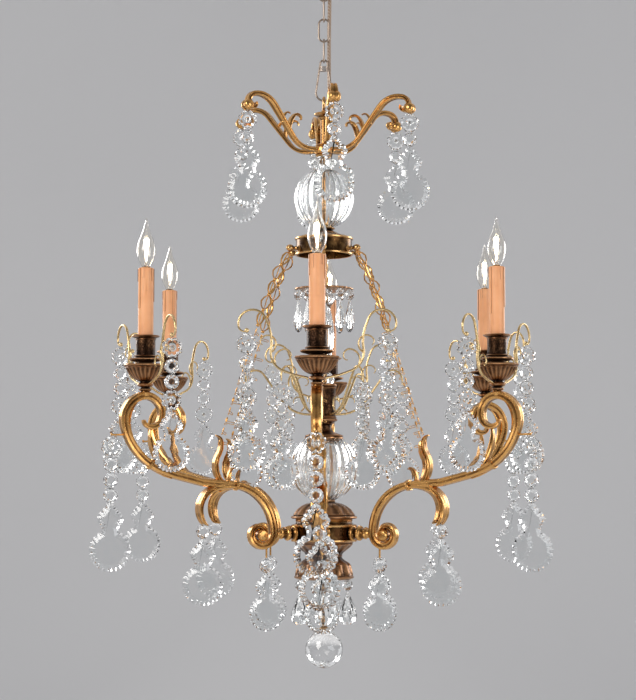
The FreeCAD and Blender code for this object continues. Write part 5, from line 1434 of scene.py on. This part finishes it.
# the right half of a plate's edge: points between its scallops as shares of width and length, and each bulge
plateEdge = [
    (0.045, 0.004, 0.3), (0.11, 0.06, 0.28), (0.185, 0.12, 0.3), (0.275, 0.175, 0.32), (0.3, 0.255, 0.3),
    (0.235, 0.31, 0.12), (0.205, 0.365, -0.05), (0.215, 0.43, 0.3), (0.335, 0.47, 0.3), (0.425, 0.54, 0.3),
    (0.47, 0.625, 0.3), (0.475, 0.715, 0.3), (0.44, 0.8, 0.3), (0.37, 0.87, 0.3),
    (0.275, 0.925, 0.3), (0.165, 0.958, 0.3), (0.055, 0.972, 0.3),
]


def faceFront(shape):
    # drawn flat, it is stood up so that its front looks along -Y
    shape = copiedAwayTurned(shape, (90, 0, 0))
    return shape


def copiedAwayTurned(shape, turn):
    copy = copied(shape, turn=turn)
    bpy.data.objects.remove(shape)
    return copy


def makePin(radius=1.7):
    # the little wire loop between two stones
    loopStops = walk((0, -radius), 0.0, [(radius, 360.0)], 45.0)
    return painted(swept("pin", loopStops, [(0, 0.7, 0.7), (1, 0.7, 0.7)], sides=4, closed=True), pinMetal)


def makeRosette():
    radius = stones["rosette"]
    rows = [(3.0, -3.6), (11.0, -3.0), (radius, -0.6), (radius, 0.6), (11.6, 2.9), (6.6, 2.9), (4.2, 1.6),
            (2.9, 3.2)]
    stone = turned("rosette", rows, sides=48)
    ribbed(stone, 8, 48, 0.18, -0.8, 0.8, inside=8.5, sharp=True)
    ribbed(stone, 8, 48, 0.30, 2.8, 3.0, inside=8.5, sharp=True)
    painted(stone, crystal)
    stud = painted(turned("rosetteStud", [(1.0, -3.9), (1.0, 3.0), (2.3, 3.3), (2.2, 3.7), (1.2, 3.9)],
                          sides=10), pinMetal)
    return faceFront(joined("rosette", [stone, stud]))


def makeOctagon(radius, thick):
    half = thick / 2
    rows = [(radius * 0.42, -half), (radius * 0.8, -half * 0.66), (radius * 0.985, -half * 0.16),
            (radius * 0.985, half * 0.16), (radius * 0.8, half * 0.66), (radius * 0.42, half)]
    stone = turned("octagon", rows, sides=16)
    # every other corner of the crown facets turned in, which makes kites of them
    openMesh(stone)
    pickVerts(stone, lambda co: abs(math.hypot(co.x, co.y) - radius * 0.8 * mm) < 0.0004
              and round(math.atan2(co.y, co.x) / math.tau * 16) % 2 == 0)
    grow(0.86, 0.86, 1.0, (0, 0, 0))
    bpy.ops.object.mode_set(mode='OBJECT')
    return faceFront(painted(stone, crystal))


def scallops(length, width, inward, bulgeShare):
    # an outline through the scallop points, each run bowed out in four short chords
    # the points are drawn in a little, so that the bowed runs end at the plate's size
    sideShare, endShare = 0.95, 0.99
    half = [(x * width * sideShare, -y * length * endShare, bulge) for x, y, bulge in plateEdge]
    spots = half + [(-x, y, bulge) for x, y, bulge in half[::-1]]
    bulges = [b for _, _, b in half] + [b for _, _, b in half[::-1]][1:] + [0.3]
    count = len(spots)
    moved = []
    for k in range(count):
        before, here, after = spots[k - 1], spots[k], spots[(k + 1) % count]
        tangent = (after[0] - before[0], after[1] - before[1])
        size = math.hypot(*tangent) or 1.0
        normal = (tangent[1] / size, -tangent[0] / size)
        moved.append((here[0] + normal[0] * inward, here[1] + normal[1] * inward))
    points = []
    for k in range(count):
        first, second = moved[k], moved[(k + 1) % count]
        run = (second[0] - first[0], second[1] - first[1])
        bow = bulges[k] * bulgeShare
        for step in range(4):
            share = step / 4
            lift = 4 * share * (1 - share) * bow
            points.append((first[0] + run[0] * share - run[1] * lift,
                           first[1] + run[1] * share + run[0] * lift))
    return points


def makePlate(length, width):
    # the girdle is the full outline; the back and the front table are the same line drawn in
    thick = stones["thick"]
    inset = width * 0.12
    outer = scallops(length, width, 0.0, 1.0)
    table = scallops(length, width, inset, -0.1)
    back = scallops(length, width, inset * 0.5, 0.6)
    rings = [(back, 0.0), (outer, 1.8), (outer, 2.4), (table, thick)]
    shape = outlined("plate", rings[0][0] + rings[0][0][:1], rings[0][1])
    bpy.ops.mesh.select_all(action='SELECT')
    bpy.ops.mesh.remove_doubles(threshold=0.0000005)
    for ring, level in rings[1:]:
        # the next ring is drawn beside the last and bridged to it below
        bpy.ops.mesh.select_all(action='DESELECT')
        bpy.ops.mesh.primitive_plane_add(size=0.1 * mm, location=(0, 0, level * mm))
        bpy.ops.mesh.merge(type='CENTER')
        drawOn(ring + ring[:1], level, (0, 0, level * mm))
        bpy.ops.mesh.select_linked()
        bpy.ops.mesh.remove_doubles(threshold=0.0000005)
    mesh = bmesh.from_edit_mesh(shape.data)
    heights = [level * mm for _, level in rings]
    for low, high in zip(heights, heights[1:]):
        bpy.ops.mesh.select_mode(type='EDGE')
        mesh = bmesh.from_edit_mesh(shape.data)
        for edge in mesh.edges:
            edge.select = any(all(abs(v.co.z - level) < 1e-6 for v in edge.verts) for level in (low, high))
        mesh.select_flush(False)
        bmesh.update_edit_mesh(shape.data)
        bpy.ops.mesh.bridge_edge_loops()
    for level in (heights[0], heights[-1]):
        mesh = bmesh.from_edit_mesh(shape.data)
        for edge in mesh.edges:
            edge.select = all(abs(v.co.z - level) < 1e-6 for v in edge.verts)
        mesh.select_flush(False)
        bmesh.update_edit_mesh(shape.data)
        bpy.ops.mesh.edge_face_add()
    closeMesh(merge=0.0000005)
    return faceFront(painted(shape, crystal))


def makeAlmond():
    length, width = stones["almond"]
    rows = [(0.8, -length), (width * 0.3, -length * 0.93), (width * 0.5, -length * 0.72),
            (width * 0.44, -length * 0.5),
            (width * 0.22, -length * 0.2), (0.8, -0.6)]
    shape = turned("almond", rows, sides=8)
    flat = copied(shape, scale=(1.0, 0.62, 1.0))
    bpy.data.objects.remove(shape)
    return painted(flat, crystal)


def makeTeardrop():
    length, width = stones["teardrop"]
    rows = [(2.0, -length), (width * 0.26, -length * 0.975), (width * 0.44, -length * 0.88),
            (width * 0.5, -length * 0.74),
            (width * 0.42, -length * 0.56), (width * 0.24, -length * 0.32), (width * 0.1, -length * 0.1),
            (0.8, -0.6)]
    return painted(turned("teardrop", rows, sides=12), crystal)


def makeBead():
    radius = stones["bead"]
    rows = [(radius * 0.3, -radius * 0.95), (radius * 0.75, -radius * 0.66), (radius, -radius * 0.1),
            (radius, radius * 0.1), (radius * 0.75, radius * 0.66), (radius * 0.3, radius * 0.95)]
    return painted(turned("bead", rows, sides=10), crystal)


bigPlate = makePlate(*stones["plate"])
smallPlate = makePlate(*stones["smallPlate"])
masters = {
    "R": (makeRosette(), 2 * stones["rosette"], False),
    "O": (makeOctagon(stones["octagon"], 9.0), 2 * stones["octagon"], False),
    "P": (bigPlate, stones["plate"][0], True),
    "p": (smallPlate, stones["smallPlate"][0], True),
    "o": (makeOctagon(stones["smallOctagon"], 6.0), 2 * stones["smallOctagon"], False),
    "a": (makeAlmond(), stones["almond"][0], True),
    "t": (makeTeardrop(), stones["teardrop"][0], True),
    "b": (makeBead(), 2 * stones["bead"], False),
    "pin": (makePin(), 0.0, False),
}
print("stones cut", {name: len(master[0].data.polygons) for name, master in masters.items()})


def strung(names, place, swing=0.0):
    # stones hung under each other from a hook, with a wire loop at every joint
    level = -stones["hangGap"]
    parts = [copied(masters["pin"][0], place=(place[0], place[1], place[2] + level + 0.4), turn=(0, 0, 90))]
    for index, name in enumerate(names):
        master, height, fromTop = masters[name]
        middle = level if fromTop else level - height / 2
        turn = (0, 0, swing * (-1) ** index)
        parts.append(copied(master, place=(place[0], place[1], place[2] + middle), turn=turn))
        level -= height
        if index < len(names) - 1:
            pinPlace = (place[0], place[1] - (1.4 if names[index + 1] in "Pp" else 0.0),
                        place[2] + level - 0.2)
            parts.append(copied(masters["pin"][0], place=pinPlace, turn=(0, 0, 90)))
        level -= stones["beadGap"]
    return parts


# degrees that each strand of a ring is turned about its hook, none at the front and back
strandTurns = (0.0, 2.4, -1.8, 0.0, -2.4, 1.8)


def hangRing(body, names, reach, level, first, label):
    for k in range(6):
        x, y = atAzimuth(reach, first + 60.0 * k)
        strand = joined(f"{label}{k + 1}",
                        strung(names, (x, y, level), swing=strandTurns[k]))
        nodeName = f"{body}_{k + 1}"
        dressed(strand, None, nodeName, [nodeName])


hangRing("crown_strand", "ROP", 144.08, -332.53, 6.0, "crownStrand")
hangRing("outer_strand", "ROOOP", 352.0, -831.9, -2.0, "outerStrand")
hangRing("leaf_pendant", "OP", 204.21, -960.82, -2.0, "leafPendant")
hangRing("volute_pendant", "Op", 99.0, -1013.4, -2.0, "volutePendant")
for k in range(6):
    pieces = []
    for side in (-1, 1):
        x, y = atAzimuth(299.0, -2.0 + 60.0 * k, 98.04 * side)
        pieces += strung("ROORp", (x, y, -692.55), swing=4.0 * side)
    dressed(joined(f"candleStrands{k + 1}", pieces), None, f"candle_strands_{k + 1}",
            [f"candle_strands_{k + 1}"])

# the strands of the column hooks end where each hook's tail does
hookTail = walk((18.3, -793.9), 0.0, [(6.0,), (50.0, 55.0), (50.0,), (15.0, -145.0), (8.0,)], 45.0)[-1]
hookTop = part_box("column_strands")[1][2] / mm + stones["hangGap"]
pieces = []
for k in range(6):
    x, y = atAzimuth(hookTail[0], 28.0 + 60.0 * k)
    pieces += strung("ROOp", (x, y, hookTop), swing=-3.0)
dressed(joined("columnStrands", pieces), None, "fixture", ["column_strands"])

pieces = []
for k in range(10):
    x, y = atAzimuth(42.0, 36.0 * k)
    pieces += strung("oa", (x, y, levels["balusterTop"]))
dressed(joined("topDrops", pieces), None, "fixture", ["top_drops"])
pieces = []
for k in range(6):
    x, y = atAzimuth(42.0, -2.0 + 60.0 * k)
    pieces += strung("bt", (x, y, levels["dishFoot"]))
dressed(joined("bottomDrops", pieces), None, "fixture", ["bottom_drops"])
for master in masters.values():
    bpy.data.objects.remove(master[0])
print("crystal hung")

# ---- stage: pale floor and backdrop, soft lamps, a plain studio world

stage = {"floor": -1.72, "back": 2.6, "front": -5.0, "wide": 7.0, "rise": 1.1}
lamps = [
    {"name": "keyLamp", "place": (-1.9, -2.4, 0.3), "size": 1.3, "watts": 46.0, "colour": (1.0, 0.97, 0.93)},
    {"name": "fillLamp", "place": (2.3, -2.0, -0.5), "size": 1.5, "watts": 24.0, "colour": (0.95, 0.97, 1.0)},
    {"name": "rimLampLeft", "place": (-1.7, 1.5, -0.1), "size": 0.9, "watts": 20.0,
     "colour": (1.0, 0.98, 0.95)},
    {"name": "rimLampRight", "place": (1.8, 1.4, -0.4), "size": 0.9, "watts": 16.0,
     "colour": (1.0, 0.98, 0.96)},
    {"name": "lowLamp", "place": (0.2, -1.6, -1.66), "size": 0.8, "watts": 6.0, "colour": (1.0, 0.97, 0.94)},
]


def makeBackdrop():
    freshStart()
    bpy.ops.mesh.primitive_plane_add(size=1, location=(0, 0, 0))
    sheet = bpy.context.object
    sheet.name = "paleBackdrop"
    openMesh(sheet)
    bpy.ops.mesh.select_all(action='SELECT')
    bpy.ops.transform.resize(value=(stage["wide"], stage["back"] - stage["front"], 1),
                             center_override=(0, 0, 0))
    bpy.ops.transform.translate(value=(0, (stage["back"] + stage["front"]) / 2, stage["floor"]))
    mesh = bmesh.from_edit_mesh(sheet.data)
    bpy.ops.mesh.select_mode(type='EDGE')
    for edge in mesh.edges:
        edge.select = all(vert.co.y > stage["back"] - 0.01 for vert in edge.verts)
    mesh.select_flush(False)
    bmesh.update_edit_mesh(sheet.data)
    steps, radius = 12, 1.2
    last = (stage["back"], stage["floor"])
    for k in range(1, steps + 1):
        angle = math.pi / 2 * k / steps
        spot = (stage["back"] + radius * math.sin(angle), stage["floor"] + radius * (1 - math.cos(angle)))
        pushOut((0, spot[0] - last[0], spot[1] - last[1]))
        last = spot
    pushOut((0, 0, stage["rise"] - last[1]))
    bpy.ops.object.mode_set(mode='OBJECT')
    smoothOff(sheet, 60)
    material, tree, shader = newMaterial("palePaper", Metallic=0.0, Roughness=0.9)
    place = node(tree, 'ShaderNodeTexCoord').outputs["Object"]
    cloud = node(tree, 'ShaderNodeTexNoise', Scale=0.6, Detail=2.0)
    tree.links.new(place, cloud.inputs["Vector"])
    paper = blendColours(tree, cloud.outputs["Fac"], (0.70, 0.70, 0.71, 1), (0.76, 0.76, 0.765, 1))
    tree.links.new(paper, shader.inputs["Base Color"])
    # from behind, the paper lets the camera see through it to the chandelier
    ways = node(tree, 'ShaderNodeSeparateXYZ')
    tree.links.new(node(tree, 'ShaderNodeNewGeometry').outputs["Incoming"], ways.inputs["Vector"])
    behind = node(tree, 'ShaderNodeMath', operation='GREATER_THAN')
    behind.inputs[1].default_value = 0.0
    tree.links.new(ways.outputs["Y"], behind.inputs[0])
    seen = node(tree, 'ShaderNodeMath', operation='MULTIPLY')
    tree.links.new(behind.outputs["Value"], seen.inputs[0])
    tree.links.new(node(tree, 'ShaderNodeLightPath').outputs["Is Camera Ray"], seen.inputs[1])
    either = node(tree, 'ShaderNodeMixShader')
    tree.links.new(seen.outputs["Value"], either.inputs["Fac"])
    tree.links.new(shader.outputs["BSDF"], either.inputs[1])
    tree.links.new(node(tree, 'ShaderNodeBsdfTransparent').outputs["BSDF"], either.inputs[2])
    tree.links.new(either.outputs["Shader"], tree.nodes["Material Output"].inputs["Surface"])
    painted(sheet, material)


def makeLamps():
    for lamp in lamps:
        data = bpy.data.lights.new(lamp["name"], 'AREA')
        data.shape = 'SQUARE'
        data.size = lamp["size"]
        data.energy = lamp["watts"]
        data.color = lamp["colour"]
        made = bpy.data.objects.new(lamp["name"], data)
        made.location = lamp["place"]
        aim = mathutils.Vector((0, 0, -0.75)) - mathutils.Vector(lamp["place"])
        made.rotation_euler = aim.to_track_quat('-Z', 'Y').to_euler()
        bpy.context.scene.collection.objects.link(made)


def makeWorld():
    # a dim even sky for light; eyes, metal and glass see it pale low down and grey above
    world = bpy.data.worlds.new("studio")
    bpy.context.scene.world = world
    world.use_nodes = True
    tree = world.node_tree
    tree.nodes.clear()
    place = node(tree, 'ShaderNodeTexCoord').outputs["Generated"]
    split = node(tree, 'ShaderNodeSeparateXYZ')
    tree.links.new(place, split.inputs[0])
    up = spread(tree, split.outputs["Z"], -0.3, 0.75)
    ahead = spread(tree, split.outputs["Y"], -0.8, 0.5)
    dark = blendColours(tree, up, (0.34, 0.33, 0.32, 1), (0.10, 0.10, 0.11, 1))
    pale = blendColours(tree, ahead, dark, (0.72, 0.72, 0.73, 1))
    rays = node(tree, 'ShaderNodeLightPath')
    seen = node(tree, 'ShaderNodeMath', operation='MAXIMUM')
    tree.links.new(rays.outputs["Is Glossy Ray"], seen.inputs[0])
    tree.links.new(rays.outputs["Is Transmission Ray"], seen.inputs[1])
    looking = node(tree, 'ShaderNodeMath', operation='MAXIMUM')
    tree.links.new(seen.outputs[0], looking.inputs[0])
    tree.links.new(rays.outputs["Is Camera Ray"], looking.inputs[1])
    colour = blendColours(tree, looking.outputs[0], (0.42, 0.42, 0.43, 1), pale)
    shine = node(tree, 'ShaderNodeBackground', Strength=1.0)
    tree.links.new(colour, shine.inputs["Color"])
    leave = node(tree, 'ShaderNodeOutputWorld')
    tree.links.new(shine.outputs[0], leave.inputs["Surface"])


makeBackdrop()
makeLamps()
makeWorld()
print("stage and lamps set")

# ---- the end

print("scene built")
